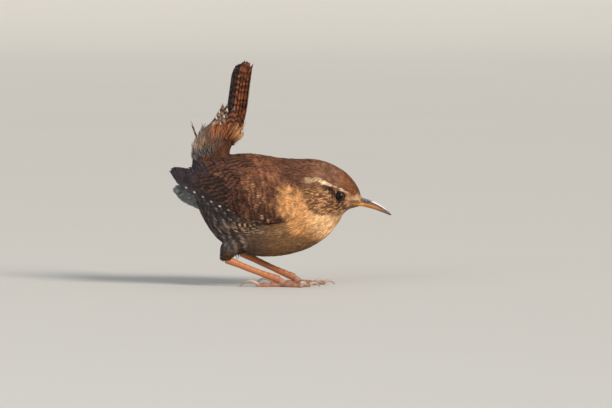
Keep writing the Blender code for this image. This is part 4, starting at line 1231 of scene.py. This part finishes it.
def lids(side, centre):
    """The lids: a band of bare skin from the eye's opening outwards, resting on the eyeball."""
    turn = circle(96)
    radius = np.interp(np.degrees(turn), *zip(*LID_RADIUS)) + LID_HALF_WIDTH
    path = stacked(LID_CENTRE[0] + radius * np.cos(turn), 0.0, LID_CENTRE[1] + radius * np.sin(turn))
    depth = np.sqrt(np.maximum((EYE_RADIUS * 1.03) ** 2 - path[:, 0] ** 2 - path[:, 2] ** 2, 0.2))
    path[:, 1] = side * depth
    path += centre
    ahead = unit(np.roll(path, -1, axis=0) - np.roll(path, 1, axis=0))
    out = unit(path - centre)
    aside = np.cross(ahead, out)
    angle = circle(18)
    rings = (path[:, None] + aside[:, None] * (LID_HALF_WIDTH * np.cos(angle))[None, :, None]
             + out[:, None] * (LID_THICK * np.sin(angle))[None, :, None])
    points = rings.reshape(-1, 3)
    faces = ring_triangles(*rings.shape[:2])
    corner = points[faces]
    facing = np.cross(corner[:, 1] - corner[:, 0], corner[:, 2] - corner[:, 0])
    outward = np.einsum("fi,fi->", facing, corner.mean(1) - np.repeat(path, 2 * rings.shape[1], axis=0))
    return points, (faces if outward > 0 else faces[:, ::-1]), over(points, LID_SKIN)


def eyes(material, skin_material):
    """Both eyeballs, and the rims of bare lid skin round them."""
    for side, word in SIDES:
        centre = middle_of(f"eye_{word}") + EYE_SHIFT
        tinted_piece(f"eyeball_{word}", *eyeball(side, centre), material, "eye", f"eye_{word}")
        tinted_piece(f"eye_rim_{word}", *lids(side, centre), skin_material, "plumage")


# Legs: joints by side, and for each toe its heading, length and claw
HEEL = {RIGHT: (-17.3, -6.2, 8.9), LEFT: (-12.6, 6.2, 10.3)}
TOE_JOINT = {RIGHT: (-0.4, -5.6, 2.35), LEFT: (4.4, 5.6, 2.35)}
HIP = {RIGHT: (-9.0, -6.4, 17.5), LEFT: (-6.5, 6.4, 17.8)}
TOES = {"inner": (-27.0, 7.4, 3.3), "middle": (3.0, 9.6, 3.6), "outer": (29.0, 7.8, 3.3),
        "hind": (178.0, 8.2, 6.0)}
SHANK_RADII = [(0, 1.25), (0.08, 1.16), (0.25, 0.96), (0.6, 0.88), (0.85, 1.02), (1.0, 1.15)]
SHANK_PLATES = 9
TOE_PLATES = 1.5


def tube_rings(path, radii, around, flatten=1.0):
    """Rings square to a path; radii is one number for a ring or one for each of its points.

    The first point of a ring is at its bottom, and angles run round from there.
    """
    along = unit(np.gradient(path, axis=0))
    level = unit(np.cross(along, (0.0, 0.0, 1.0)))
    up = np.cross(level, along)
    angle = circle(around)
    radii = np.broadcast_to(np.asarray(radii, float).reshape(len(path), -1), (len(path), around))
    aside = level[:, None] * (np.sin(angle) * radii)[..., None]
    return path[:, None] + aside - up[:, None] * (np.cos(angle) * radii * flatten)[..., None]


def above_floor(rings):
    """Rings pressed flat where they would reach below the floor."""
    rings[..., 2] = np.maximum(rings[..., 2], 0.0)
    return rings


def scutes(t, count, angle, height):
    """Overlapping plates along a leg: each starts high and slopes down to the next one's edge.

    The plate's height is a sawtooth of t, kept to the upper side.
    """
    saw = 1 - np.mod(t * count, 1.0)
    edge = ease(0.0, 0.12, np.mod(t * count, 1.0))
    upper_side = ease(-0.25, 0.45, np.cos(angle - math.pi))
    return height * (saw * edge)[:, None] * upper_side[None, :]


def tarsus(side):
    """The bare leg from the heel to the toes: slim in the middle, with a row of plates down its front."""
    heel, joint = np.array(HEEL[side]), np.array(TOE_JOINT[side])
    t = np.linspace(0.0, 1.0, 120)
    path = heel + (joint - heel) * t[:, None] + np.array([0.0, 0.0, -0.25]) * (4 * t * (1 - t))[:, None]
    angle = circle(28)
    plates = scutes(t, SHANK_PLATES, angle, 0.07) * ease(0.0, 0.3, t)[:, None]
    radii = table(SHANK_RADII, t)[:, None] * (1 - 0.10 * np.abs(np.sin(angle))) + plates
    rings = tube_rings(path, radii, len(angle), 1.06)
    points, faces = closed_tube(rings)
    groove = (np.mod(t * SHANK_PLATES, 1.0) < 0.12) * (0.35 + 0.65 * ease(0.45, 0.7, t))
    tint = over(rings, LEG_SKIN)
    tint = blend_to(tint, TOE_GROOVE, groove[:, None] * ease(-0.2, 0.4, -np.cos(angle)) * 0.8)
    tint = blend_to(tint, TOE_SKIN, ease(0.75, 1.0, t)[:, None] * 0.6 + 0 * angle)
    return points, faces, np.vstack([tint.reshape(-1, 3), LEG_SKIN, TOE_SKIN])


def toe(side, heading, length, joint):
    """A toe: knuckles swell it three times, plates ring its upper side and pads its sole."""
    out = math.radians(heading) * side
    forward = math.cos(out) > 0
    t = np.linspace(0.0, 1.0, 100)
    radii = 0.80 - 0.20 * t + 0.09 * np.cos(t * math.pi * 6)
    start = 0.3 if forward else 0.9
    path = np.empty((len(t), 3))
    path[:, 0] = joint[0] + start + np.cos(out) * length * t
    path[:, 1] = joint[1] + np.sin(out) * length * t
    path[:, 2] = 0.8 * radii - 0.04 + (0.9 if forward else 0.3) * (1 - t) ** 5
    angle = circle(24)
    plates = scutes(t, length * TOE_PLATES, angle, 0.08)
    pads = 0.05 * np.abs(np.sin(t * math.pi * 6))[:, None] * ease(0.3, 1, np.cos(angle))
    rings = above_floor(tube_rings(path, radii[:, None] + plates + pads, len(angle), 0.95))
    points, faces = closed_tube(rings)
    groove = ease(0.22, 0.02, np.mod(t * length * TOE_PLATES, 1.0))
    tint = over(rings, TOE_SKIN)
    tint = blend_to(tint, TOE_GROOVE, groove[:, None] * ease(-0.3, 0.3, -np.cos(angle)) * 0.9)
    tint = np.vstack([tint.reshape(-1, 3), TOE_SKIN, TOE_SKIN])
    return (points, faces, tint), path[-1], out


def claw(start, out, length):
    """A claw: an arc that rises from the toe's end and comes down to its point, thin from side to side."""
    t = np.linspace(0.0, 1.0, 40)
    ahead = np.array([math.cos(out), math.sin(out), 0.0])
    path = start + ahead * (length * (t - 0.12))[:, None]
    path[:, 2] = start[2] * (1 - t) + 0.12 * t + 0.27 * length * np.sin(t * math.pi) ** 0.9
    angle = circle(18)
    radii = (0.46 * (1 - t) ** 0.72 + 0.06)[:, None] * (1 - 0.25 * np.abs(np.sin(angle)))
    rings = above_floor(tube_rings(path, radii, len(angle), 1.2))
    points, faces = closed_tube(rings)
    share = (ease(0.35, 1.0, t) * 0.75)[:, None] + 0 * angle
    tint = blend_to(over(rings, CLAW_HORN), CLAW_TIP, share)
    return points, faces, np.vstack([tint.reshape(-1, 3), CLAW_HORN, CLAW_HORN])


def ball_of_foot(side):
    """The rounded joint between the leg and its toes."""
    joint, heel = np.array(TOE_JOINT[side]), np.array(HEEL[side])
    axis = unit(joint - heel)
    t = np.linspace(0.0, 1.0, 24)
    path = joint - axis * 0.3 + np.outer(t, (2.2, 0.0, -1.5))
    radii = 0.93 * np.sqrt(np.clip(1 - (2 * t - 1) ** 6, 0.01, 1))
    points, faces = closed_tube(above_floor(tube_rings(path, radii, 24)))
    return points, faces, over(points, TOE_SKIN)


def legs(material, claw_material):
    """Each bare leg with its toes as one piece, and its four claws as another."""
    for side, word in SIDES:
        skin_parts, claw_parts = [tarsus(side)], []
        for heading, length, hook in TOES.values():
            made, end, out = toe(side, heading, length, TOE_JOINT[side])
            skin_parts.append(made)
            claw_parts.append(claw(end, out, hook))
        skin_parts.append(ball_of_foot(side))
        tinted_piece(f"leg_{word}", *join_tubes(skin_parts), material, "leg_skin",
                     f"shank_{word}", f"foot_{word}")
        tinted_piece(f"claws_{word}", *join_tubes(claw_parts), claw_material, "leg_skin")


# Thighs and wing covers: radii and depths by the share of their length, and the coat's depth over them
THIGH_RADII = [(0, 2.2), (0.35, 3.6), (0.7, 3.0), (0.88, 2.4), (0.95, 2.0), (1.0, 1.3)]
THIGH_COAT = 0.9
COVER_DEPTH = [(0, 1.5), (0.12, 5.4), (0.25, 7.4), (0.4, 8.9), (0.6, 9.8), (0.8, 9.6), (1.0, 8.8)]
COVER_TOP, COVER_UNDER = -0.25, -1.2

# Bands of the coat, as rings of the form
HEAD_END, BREAST_END, TRUNK_END, BELLY_END = 6.2, 9.0, 12.5, 16.0
DOWN_START, DOWN_END = 15.6, 17.6
ROOT_START, ROOT_END, ROOT_SKIN = 17.4, 19.8, 17.5
BODY_BANDS = (("breast", HEAD_END, BREAST_END, 41), ("trunk", BREAST_END, TRUNK_END, 42),
              ("belly", TRUNK_END, BELLY_END, 43))

# Spacing and length of the feathers, by ring
HEAD_GAP = [(0, 0.30), (1, 0.35), (2.5, 0.44), (4.5, 0.58), (6.2, 0.70)]
BODY_GAP = [(6, 0.70), (8, 0.80), (12, 0.86), (16, 0.82), (20, 0.75)]
HEAD_LENGTH = [(0, 0.8), (1, 1.2), (2.5, 1.9), (4.5, 2.8), (6.2, 3.6)]
BODY_LENGTH = [(6, 3.6), (8, 4.4), (11, 5.2), (15, 5.6), (18, 5.5)]
DOWN_LENGTH = [(15, 4.6), (17, 4.6), (18, 3.8)]
ROOT_LENGTH = [(17, 4.8), (20, 3.8)]


def thigh_grid(side, rows, around):
    """The feathered thigh's skin: rings along a bowed path from the hip to the heel, with a rounded end."""
    hip, heel = np.array(HIP[side]), np.array(HEEL[side])
    end = heel + np.array([-0.1, 0.0, -0.5])
    t = np.linspace(0.0, 1.0, rows)
    path = hip + (end - hip) * t[:, None] + np.array([-2.2, 0.0, 0.4]) * (4 * t * (1 - t))[:, None]
    path[:, 1] -= side * 2.2 * (1 - t) ** 1.5
    inset = THIGH_COAT * (1 - 0.75 * ease(0.8, 1.0, t))
    return tube_rings(path, table(THIGH_RADII, t) - inset, around)


def wing_cover_grid(side, rows, columns, lift):
    """The wing's shoulder: a patch of the bed from the bend of the wing back over the quills.

    It domes between its edges and dips at its rim, where the body's own feathers meet it.
    """
    t = np.linspace(0.0, 1.0, rows)
    middle = np.stack([8.4 - 22.0 * t, 27.2 + 3.2 * t], axis=-1)
    deep = table(COVER_DEPTH, t)
    across = np.linspace(-1.0, 1.0, columns)
    low = on_wing(middle - stacked(0.0, deep), side)
    high = on_wing(middle + stacked(0.0, deep * 0.98), side)
    places = low[:, None] + (high - low)[:, None] * ((across + 1) / 2)[None, :, None]
    rim = ease(1.0, 0.78, np.abs(across))[None, :] * ease(0.0, 0.25, t)[:, None]
    height = lift + 0.40 * ease(0.35, 0.75, t)[:, None] + 0.55 * (1 - across**2)[None, :] - 2.2 * (1 - rim)
    return bed(places[..., 0], places[..., 1], side, height)


def skin_piece(skin, material):
    """One skin over head, neck, body, rump and thighs, with the same markings as the feathers on it, darkened
    as painted shade deep in the coat.
    """
    r, q = np.meshgrid(np.linspace(0, 1, 190), np.arange(144) / 144, indexing="ij")
    points, faces = closed_tube(skin.at(r, q))
    s = np.append(r.ravel() * LAST_RING, [0.0, LAST_RING])[:, None]
    coat, down, root = (look(points)[0] for look in (markings, down_markings, root_markings))
    tint = np.where(s > ROOT_SKIN, root, np.where(s > DOWN_START, down, coat))
    # Painted shade: the markings darkened to 0.8, and to 0.7 under the wing's coverts, for the skin deep in
    # the coat
    groups = [(points, faces, tint * 0.8)]
    for side, _ in SIDES:
        points, faces = closed_tube(thigh_grid(side, 60, 40))
        groups.append((points, faces, thigh_markings(points)[0] * 0.8))
        both = [wing_cover_grid(side, 50, 40, lift).reshape(-1, 3) for lift in (COVER_TOP, COVER_UNDER)]
        points = np.vstack(both)
        triangles = facing_out(points[None], slab_triangles(50, 40)).reshape(-1, 3)
        groups.append((points, triangles, covert_markings(points)[0] * 0.7))
    points, faces, tint = join_tubes(groups)
    tinted_piece("skin", points, faces, np.clip(tint, 0, 1), material, "plumage",
                 "head", "neck", "torso", "rump", "thigh_right", "thigh_left")


def near_eye(place):
    """How far places are from the eye's opening, seen from the side, in millimetres."""
    return np.hypot((place[..., 0] - EYE_AT[0] - LID_CENTRE[0]), (place[..., 2] - EYE_AT[1] - LID_CENTRE[1]))


def under_wing(place):
    """1 where the wing hides the body, 0 clear of it."""
    x, z = place[..., 0], place[..., 2]
    return ease(1.5, -1.0, x) * ease(21.5, 24.0, z) * ease(37.5, 35.5, z) * (np.abs(place[..., 1]) > 6.0)


def head_spacing(place, row, column):
    """Head feathers stand closest round the bill and the eye and farther apart on crown and nape.

    They keep farther off in front of the eye, since they lie back towards it.
    """
    s = row * LAST_RING
    away = near_eye(place)
    gap = np.minimum(table(HEAD_GAP, s), 0.29 + 0.14 * np.maximum(away - 1.9, 0))
    ahead = np.clip((place[..., 0] - EYE_AT[0] - LID_CENTRE[0]) / away, 0, 1)
    clear = (away > EYE_CLEAR + 0.55 * ahead) | (np.abs(place[..., 1]) < 3.0)
    return np.where(clear & (s < HEAD_END), gap, 0.0)


def body_spacing(first, last):
    """Spacing on the body between two rings of the form, wider towards the rear, none under the wings."""
    def spacing(place, row, column):
        """The spacing at places, 0 outside the two rings."""
        s = row * LAST_RING
        return np.where((s >= first) & (s < last) & (under_wing(place) < 0.5), table(BODY_GAP, s), 0.0)
    return spacing


def thigh_spacing(place, row, column):
    """Thigh feathers stand closer towards the heel."""
    return np.where((row > 0.12) & (row < 0.93), 0.74 - 0.30 * row, 0.0)


def shoulder_spacing(place, row, column):
    """Tufts stand to an uneven line near the patch's rear edge."""
    return np.where(row < 0.80 + 0.22 * solid_noise(place, 2.6, 17), 0.60 + 0.25 * row, 0.0)


def plumage_of_head(skin, material):
    """The small feathers of head and neck, shortest and flattest round the eye."""
    rng = np.random.default_rng(HEAD_SEED)
    row, column, place = roots_on(skin, head_spacing, 90000, rng)
    s = row * LAST_RING
    around_eye = ease(4.2, 1.9, near_eye(place))
    length = table(HEAD_LENGTH, s) * (1 - 0.6 * around_eye)
    rise = table(COAT_DEPTH, s) * (1 - 0.3 * around_eye)
    grown = grow(skin, row, column, length, length * 0.5, rise, 5, rng, stout=0.95, ragged=0.12)
    tuft_piece("head_plumage", row, column, grown, material, rng)


def plumage_of_body(skin, material):
    """Breast, trunk and belly, looser towards the rear."""
    for word, first, last, seed in BODY_BANDS:
        rng = np.random.default_rng(seed)
        row, column, _ = roots_on(skin, body_spacing(first, last), 60000, rng)
        s = row * LAST_RING
        length, rise = table(BODY_LENGTH, s), table(COAT_DEPTH, s)
        loose = 0.10 + 0.12 * ease(9.0, 16.0, s).mean()
        grown = grow(skin, row, column, length, length * 0.55, rise, 9, rng, stout=0.85, ragged=loose)
        tuft_piece(f"{word}_plumage", row, column, grown, material, rng)


def plumage_of_rump(skin, material):
    """The loose down and coverts round the tail's root, which stand off; in front they puff out far."""
    rng = np.random.default_rng(RUMP_SEED)
    row, column, place = roots_on(skin, body_spacing(DOWN_START, DOWN_END), 40000, rng)
    n, x, z = len(row), place[..., 0], place[..., 2]
    behind = ease(-17.0, -24.0, x)
    before = ease(-18.4, -17.0, x) * ease(44.0, 45.2, z) * ease(50.5, 48.5, z)
    length = table(DOWN_LENGTH, row * LAST_RING) * rng.uniform(0.6, 1.15, n) * (1 - 0.12 * before)
    rise = (0.9 + 0.9 * behind) * rng.uniform(0.6, 1.25, n) + 2.9 * before * rng.uniform(0.55, 1.0, n)
    width = length * (0.55 + 0.15 * before)
    grown = grow(skin, row, column, length, width, rise, 9, rng, stout=0.6, ragged=0.2, stray=0.22, curl=0.05)
    tuft_piece("rump_plumage", row, column, grown, material, rng, down_markings, vary=0.16)


def plumage_of_tail_root(skin, material):
    """The close coverts over the tail's root, above the down."""
    rng = np.random.default_rng(TAIL_ROOT_SEED)
    row, column, _ = roots_on(skin, body_spacing(ROOT_START, ROOT_END), 20000, rng)
    length = table(ROOT_LENGTH, row * LAST_RING) * rng.uniform(0.8, 1.1, len(row))
    rise = np.full(len(row), 0.6)
    grown = grow(skin, row, column, length, length * 0.42, rise, 7, rng, stout=0.9, ragged=0.12, stray=0.14)
    tuft_piece("tail_root_plumage", row, column, grown, material, rng, root_markings, vary=0.14)


def plumage_of_thighs(material):
    """The short close feathers of both thighs, down to the heel."""
    for side, word in SIDES:
        rng = np.random.default_rng(THIGH_SEED[side])
        grid = thigh_grid(side, 80, 64)
        surface = Surface(grid, True, 1.0)
        if (surface.normal[40] * (grid[40] - grid[40].mean(0))).sum() < 0:
            surface = Surface(grid, True, -1.0)
        row, column, _ = roots_on(surface, thigh_spacing, 14000, rng)
        length = (4.2 - 3.3 * ease(0.30, 0.88, row)) * rng.uniform(0.8, 1.15, len(row))
        rise = 0.9 - 0.6 * row
        grown = grow(surface, row, column, length, length * 0.5, rise, 8, rng, stout=0.85, ragged=0.12,
                     stray=0.15)
        tuft_piece(f"thigh_plumage_{word}", row, column, grown, material, rng, thigh_markings, vary=0.13)


def plumage_of_shoulders(material):
    """The small coverts over the front of each wing."""
    for side, word in SIDES:
        rng = np.random.default_rng(SHOULDER_SEED[side])
        grid = wing_cover_grid(side, 90, 80, COVER_TOP)
        surface = Surface(grid, False, 1.0)
        if surface.normal[45, 40, 1] * side < 0:
            surface = Surface(grid, False, -1.0)
        row, column, _ = roots_on(surface, shoulder_spacing, 24000, rng)
        length = (2.4 + 1.5 * row) * rng.uniform(0.8, 1.2, len(row))
        rise = 0.50 + 0.15 * row
        grown = grow(surface, row, column, length, length * 0.55, rise, 8, rng, stout=0.9, ragged=0.10)
        tuft_piece(f"shoulder_plumage_{word}", row, column, grown, material, rng, covert_markings,
                   vary=0.13, jitter=0.6)


VALUE, VECTOR = "NodeSocketFloat", "NodeSocketVector"
BUMP_DEPTH = 0.0001


class Nodes:
    """A short way to place nodes: each call adds one and fills its inputs with plain values or links."""

    def __init__(self, tree):
        self.tree = tree

    def fill(self, made, key, value):
        """Links an output to a node's input, or gives the input a plain value."""
        if isinstance(value, bpy.types.NodeSocket):
            self.tree.links.new(value, made.inputs[key])
        else:
            made.inputs[key].default_value = value

    def add(self, kind, values=None, **settings):
        """A new node with its settings and its inputs."""
        made = self.tree.nodes.new(kind)
        for word, value in settings.items():
            setattr(made, word, value)
        for key, value in (values or {}).items():
            self.fill(made, key, value)
        return made

    def math(self, operation, a, b=0.0, c=0.0):
        """One operation on numbers."""
        return self.add("ShaderNodeMath", {0: a, 1: b, 2: c}, operation=operation).outputs[0]

    def tone(self, noise, depth):
        """A noise as a tone about 1."""
        return self.math("MULTIPLY_ADD", self.math("SUBTRACT", noise, 0.5), depth, 1.0)

    def noise(self, vector, scale, detail=2.0, roughness=0.5):
        """Noise in 0..1."""
        values = {"Vector": vector, "Scale": scale, "Detail": detail, "Roughness": roughness}
        return self.add("ShaderNodeTexNoise", values).outputs["Fac"]

    def ease(self, value, low, high):
        """0 at low, 1 at high and a smooth step between."""
        values = {"Value": value, "From Min": low, "From Max": high}
        return self.add("ShaderNodeMapRange", values, interpolation_type="SMOOTHSTEP").outputs["Result"]

    def mix(self, share, a, b):
        """Colour a moved towards b by share."""
        made = self.add("ShaderNodeMix", data_type="RGBA")
        self.fill(made, 0, share)
        for key, colour in ((6, a), (7, b)):
            self.fill(made, key, colour if isinstance(colour, bpy.types.NodeSocket) else (*colour, 1.0))
        return made.outputs[2]

    def scaled(self, colour, tone):
        """A colour times a tone."""
        return self.add("ShaderNodeVectorMath", {0: colour, 3: tone}, operation="SCALE").outputs[0]

    def attribute(self, name, kind="Vector"):
        """A value that the mesh holds for each point."""
        return self.add("ShaderNodeAttribute", attribute_name=name).outputs[kind]

    def place(self):
        """The place on the object, in metres."""
        return self.add("ShaderNodeTexCoord").outputs["Object"]

    def split(self, vector):
        """The three numbers of a vector."""
        return self.add("ShaderNodeSeparateXYZ", {0: vector}).outputs[:3]

    def join(self, x, y, z):
        """A vector of three numbers."""
        return self.add("ShaderNodeCombineXYZ", {0: x, 1: y, 2: z}).outputs[0]

    def group(self, group, **values):
        """A node that runs a group, with the group's inputs by name."""
        return self.add("ShaderNodeGroup", values, node_tree=group).outputs

    def link(self, value, made, key):
        """Links an output to a node's input."""
        self.tree.links.new(value, made.inputs[key])


def new_group(name, inputs, outputs):
    """An empty node group with named sockets, and its two end nodes."""
    tree = bpy.data.node_groups.new(name, "ShaderNodeTree")
    for word, kind in inputs:
        tree.interface.new_socket(word, in_out="INPUT", socket_type=kind)
    for word, kind in outputs:
        tree.interface.new_socket(word, in_out="OUTPUT", socket_type=kind)
    made = Nodes(tree)
    return made, made.add("NodeGroupInput").outputs, made.add("NodeGroupOutput")


def barbs_group():
    """Fine lines that run along a feather: noise stretched along u, as a tone about 1 and as a height."""
    n, given, out = new_group("barbs", [("Place", VECTOR), ("Fineness", VALUE), ("Depth", VALUE)],
                              [("Tone", VALUE), ("Height", VALUE)])
    u, v, chance = n.split(given["Place"])
    across = n.math("MULTIPLY", v, given["Fineness"])
    vector = n.join(n.math("MULTIPLY", u, 2.2), across, n.math("MULTIPLY", chance, 37.0))
    lines = n.noise(vector, 1.0, 3.0, 0.6)
    n.link(n.tone(lines, given["Depth"]), out, "Tone")
    n.link(lines, out, "Height")
    return n.tree


def bars_group():
    """Dark bars: a wave of the lane, bent by noise, cut to a soft edge; Share is how much of it is dark."""
    n, given, out = new_group("bars", [("Lane", VALUE), ("Bend", VALUE), ("Share", VALUE)], [("Mask", VALUE)])
    bend = n.math("MULTIPLY", n.math("SUBTRACT", n.noise(n.place(), 420.0, 2.0), 0.5), given["Bend"])
    wave = n.math("SINE", n.math("MULTIPLY", n.math("ADD", given["Lane"], bend), 2 * math.pi))
    level = n.math("SUBTRACT", 1.0, n.math("MULTIPLY", given["Share"], 2.0))
    n.link(n.ease(n.math("SUBTRACT", wave, level), -0.35, 0.35), out, "Mask")
    return n.tree


def new_material(name, rough, sheen=0.0, coat=0.0, specular=0.5, subsurface=0.0):
    """A material, its nodes and its shader."""
    made = bpy.data.materials.new(name)
    made.use_nodes = True
    shader = made.node_tree.nodes["Principled BSDF"]
    named = {"Roughness": rough, "Sheen Weight": sheen, "Coat Weight": coat, "Specular IOR Level": specular,
             "Subsurface Weight": subsurface}
    for word, value in named.items():
        shader.inputs[word].default_value = value
    return made, Nodes(made.node_tree), shader


def plumage_material(barbs, bars):
    """Soft body feathers: tint, wavy dark bars, darker roots, and on some tufts a pale tip."""
    made, n, shader = new_material("plumage", 0.75, sheen=0.03, specular=0.12)
    place = n.attribute("place")
    u, _, chance = n.split(place)
    strength, lane, pale = n.split(n.attribute("mark"))
    lines = n.group(barbs, Place=place, Fineness=26.0, Depth=0.9)
    tint = n.scaled(n.attribute("tint", "Color"), lines["Tone"])
    tip = n.math("MULTIPLY", n.ease(u, 0.60, 0.86), n.ease(chance, 0.62, 0.70))
    tint = n.mix(n.math("MULTIPLY", tip, pale), tint, n.scaled(tint, 2.9))
    mask = n.group(bars, Lane=lane, Bend=1.3, Share=0.42)["Mask"]
    tint = n.mix(n.math("MULTIPLY", mask, strength), tint, n.scaled(tint, 0.30))
    tint = n.mix(n.ease(u, 0.45, 0.0), tint, n.scaled(tint, 0.55))
    n.link(tint, shader, "Base Color")
    return made


def vane_material(barbs, bars):
    """Flight feathers: mottled webs with slanting bars, pale rims and spots, and a dark shaft."""
    made, n, shader = new_material("vanes", 0.60, sheen=0.02, specular=0.18)
    place = n.attribute("place")
    u, v, _ = n.split(place)
    strength, lane, rims = n.split(n.attribute("mark"))
    dots, spots, white = n.split(n.attribute("spot"))
    lines = n.group(barbs, Place=place, Fineness=60.0, Depth=0.7)
    tint = n.scaled(n.attribute("tint", "Color"), lines["Tone"])
    tint = n.scaled(tint, n.tone(n.noise(n.place(), 900.0, 2.0), 1.7))
    mask = n.group(bars, Lane=lane, Bend=1.0, Share=0.56)["Mask"]
    tint = n.mix(n.math("MULTIPLY", mask, strength), tint, n.scaled(tint, 0.22))
    rim = n.ease(n.math("ABSOLUTE", n.math("SUBTRACT", v, 0.5)), 0.44, 0.495)
    tint = n.mix(n.math("MULTIPLY", rim, rims), tint, n.scaled(tint, 2.2))
    wave = n.math("SINE", n.math("MULTIPLY", dots, 2 * math.pi))
    dot = n.math("MULTIPLY", n.ease(wave, 0.50, 0.90), n.ease(v, 0.58, 0.72))
    tint = n.mix(n.math("MULTIPLY", dot, spots), tint, SPOT_CREAM)
    tint = n.mix(n.math("MULTIPLY", n.ease(u, 0.86, 0.95), white), tint, WHITE)
    shaft = n.ease(n.math("ABSOLUTE", n.math("SUBTRACT", v, 0.62)), 0.03, 0.01)
    tint = n.mix(n.math("MULTIPLY", shaft, 0.35), tint, DARK)
    bump = n.add("ShaderNodeBump", {"Height": lines["Height"], "Strength": 0.25, "Distance": BUMP_DEPTH})
    n.link(tint, shader, "Base Color")
    n.link(bump.outputs[0], shader, "Normal")
    return made


def tinted_material(name, rough, scale, depth, bump, **settings):
    """A surface with its own tint, varied by noise on the object, with a fine bump."""
    made, n, shader = new_material(name, rough, **settings)
    grain = n.noise(n.place(), scale, 4.0, 0.6)
    n.link(n.scaled(n.attribute("tint", "Color"), n.tone(grain, depth)), shader, "Base Color")
    if bump:
        made_bump = n.add("ShaderNodeBump", {"Height": grain, "Strength": bump, "Distance": BUMP_DEPTH})
        n.link(made_bump.outputs[0], shader, "Normal")
    return made


# The camera, whose frame is the photograph's, and the floor
CAMERA_AWAY = 2.0
CAMERA_RISE = math.radians(3.0)
AIM = (8.16, 26.2)
PIXEL = 0.32
IMAGE_WIDE = 612
SENSOR = 36.0
FLOOR_FLAT, FLOOR_BEND, FLOOR_AROUND = 2600.0, 700.0, 72


def floor():
    """A pale round floor whose rim curves up like a bowl's, far out from the bird."""
    turn = np.linspace(0.0, 1.2, 16)
    radius = np.concatenate([[1.0, 600.0, 1500.0], FLOOR_FLAT + FLOOR_BEND * np.sin(turn)])[:, None]
    height = np.concatenate([[0.0, 0.0, 0.0], FLOOR_BEND * (1 - np.cos(turn))])[:, None]
    angle = circle(FLOOR_AROUND)
    rings = stacked(radius * np.cos(angle), radius * np.sin(angle), height)
    count = len(radius) * FLOOR_AROUND
    index = np.arange(count).reshape(len(radius), FLOOR_AROUND)
    after = np.roll(index, -1, axis=1)
    sides = two_faces(*(part.ravel() for part in (index[:-1], index[1:], after[1:], after[:-1])))
    middle = np.stack([index[0], after[0], np.full(FLOOR_AROUND, count)], 1)
    points = np.vstack([rings.reshape(-1, 3), [0.0, 0.0, 0.0]])
    made = add_piece("floor", points, np.concatenate([sides, middle]))
    material, n, shader = new_material("floor", 0.85)
    n.link(n.mix(n.noise(n.place(), 6.0), FLOOR_DARK, FLOOR_PALE), shader, "Base Color")
    made.data.materials.append(material)


def area_light(name, place, size, power, colour):
    """A square soft light aimed at the bird."""
    data = bpy.data.lights.new(name, "AREA")
    data.shape, data.size, data.energy, data.color = "SQUARE", size, power, colour
    made = bpy.data.objects.new(name, data)
    made.location = place
    aim = Vector((0.0, 0.0, 0.03)) - Vector(place)
    made.rotation_euler = aim.to_track_quat("-Z", "Y").to_euler()
    bpy.context.scene.collection.objects.link(made)


def sun(name, place, power, width, colour):
    """A soft light of one direction, from place towards the bird, as wide in the sky as width."""
    data = bpy.data.lights.new(name, "SUN")
    data.energy, data.angle, data.color = power, math.radians(width), colour
    made = bpy.data.objects.new(name, data)
    made.location = place
    made.rotation_euler = (-Vector(place)).to_track_quat("-Z", "Y").to_euler()
    bpy.context.scene.collection.objects.link(made)


def lights():
    """A warm key from the bird's front, upper right of the picture, and a cool fill from behind it."""
    sun("key", (0.95, -0.95, 0.80), 3.3, 22.0, (1.0, 0.93, 0.82))
    area_light("fill", (-0.8, -1.1, 0.5), 1.0, 6.0, (0.88, 0.93, 1.0))
    world = bpy.data.worlds.new("studio")
    world.use_nodes = True
    world.node_tree.nodes["Background"].inputs[0].default_value = (0.88, 0.88, 0.88, 1.0)
    world.node_tree.nodes["Background"].inputs[1].default_value = 0.45
    bpy.context.scene.world = world


def camera():
    """A long lens level with the bird, whose frame is the photograph's."""
    data = bpy.data.cameras.new("camera")
    data.sensor_width = SENSOR
    data.lens = SENSOR * CAMERA_AWAY / (IMAGE_WIDE * PIXEL * MM)
    data.clip_end = 20.0
    made = bpy.data.objects.new("camera", data)
    aim = Vector((AIM[0] * MM, 0.0, AIM[1] * MM))
    made.location = aim + Vector((0.0, -math.cos(CAMERA_RISE), math.sin(CAMERA_RISE))) * CAMERA_AWAY
    made.rotation_euler = (aim - made.location).to_track_quat("-Z", "Y").to_euler()
    bpy.context.scene.collection.objects.link(made)
    bpy.context.scene.camera = made


def main():
    """Builds the whole scene, from the materials to the camera."""
    barbs, bars = barbs_group(), bars_group()
    soft = plumage_material(barbs, bars)
    vanes = vane_material(barbs, bars)
    skin_finish = tinted_material("skin", 0.85, 1500.0, 0.5, 0.3, specular=0.1)
    horn = tinted_material("bill_horn", 0.22, 900.0, 0.4, 0.12, coat=0.4)
    low_horn = tinted_material("lower_bill_horn", 0.35, 900.0, 0.35, 0.12, coat=0.1)
    leg_skin = tinted_material("leg_skin", 0.48, 1800.0, 0.3, 0.25, subsurface=0.05)
    claw_horn = tinted_material("claw_horn", 0.35, 1200.0, 0.3, 0.1, coat=0.1)
    eye = tinted_material("eye", 0.08, 900.0, 0.2, 0.0, specular=0.16)
    skin = body_surface()
    skin_piece(skin, skin_finish)
    plumage_of_head(skin, soft)
    plumage_of_body(skin, soft)
    plumage_of_rump(skin, soft)
    plumage_of_tail_root(skin, soft)
    plumage_of_thighs(soft)
    plumage_of_shoulders(soft)
    wings(vanes)
    tail(vanes)
    bill(horn, low_horn)
    eyes(eye, skin_finish)
    legs(leg_skin, claw_horn)
    floor()
    lights()
    camera()


main()
bpy.context.scene.view_settings.view_transform = "Standard"
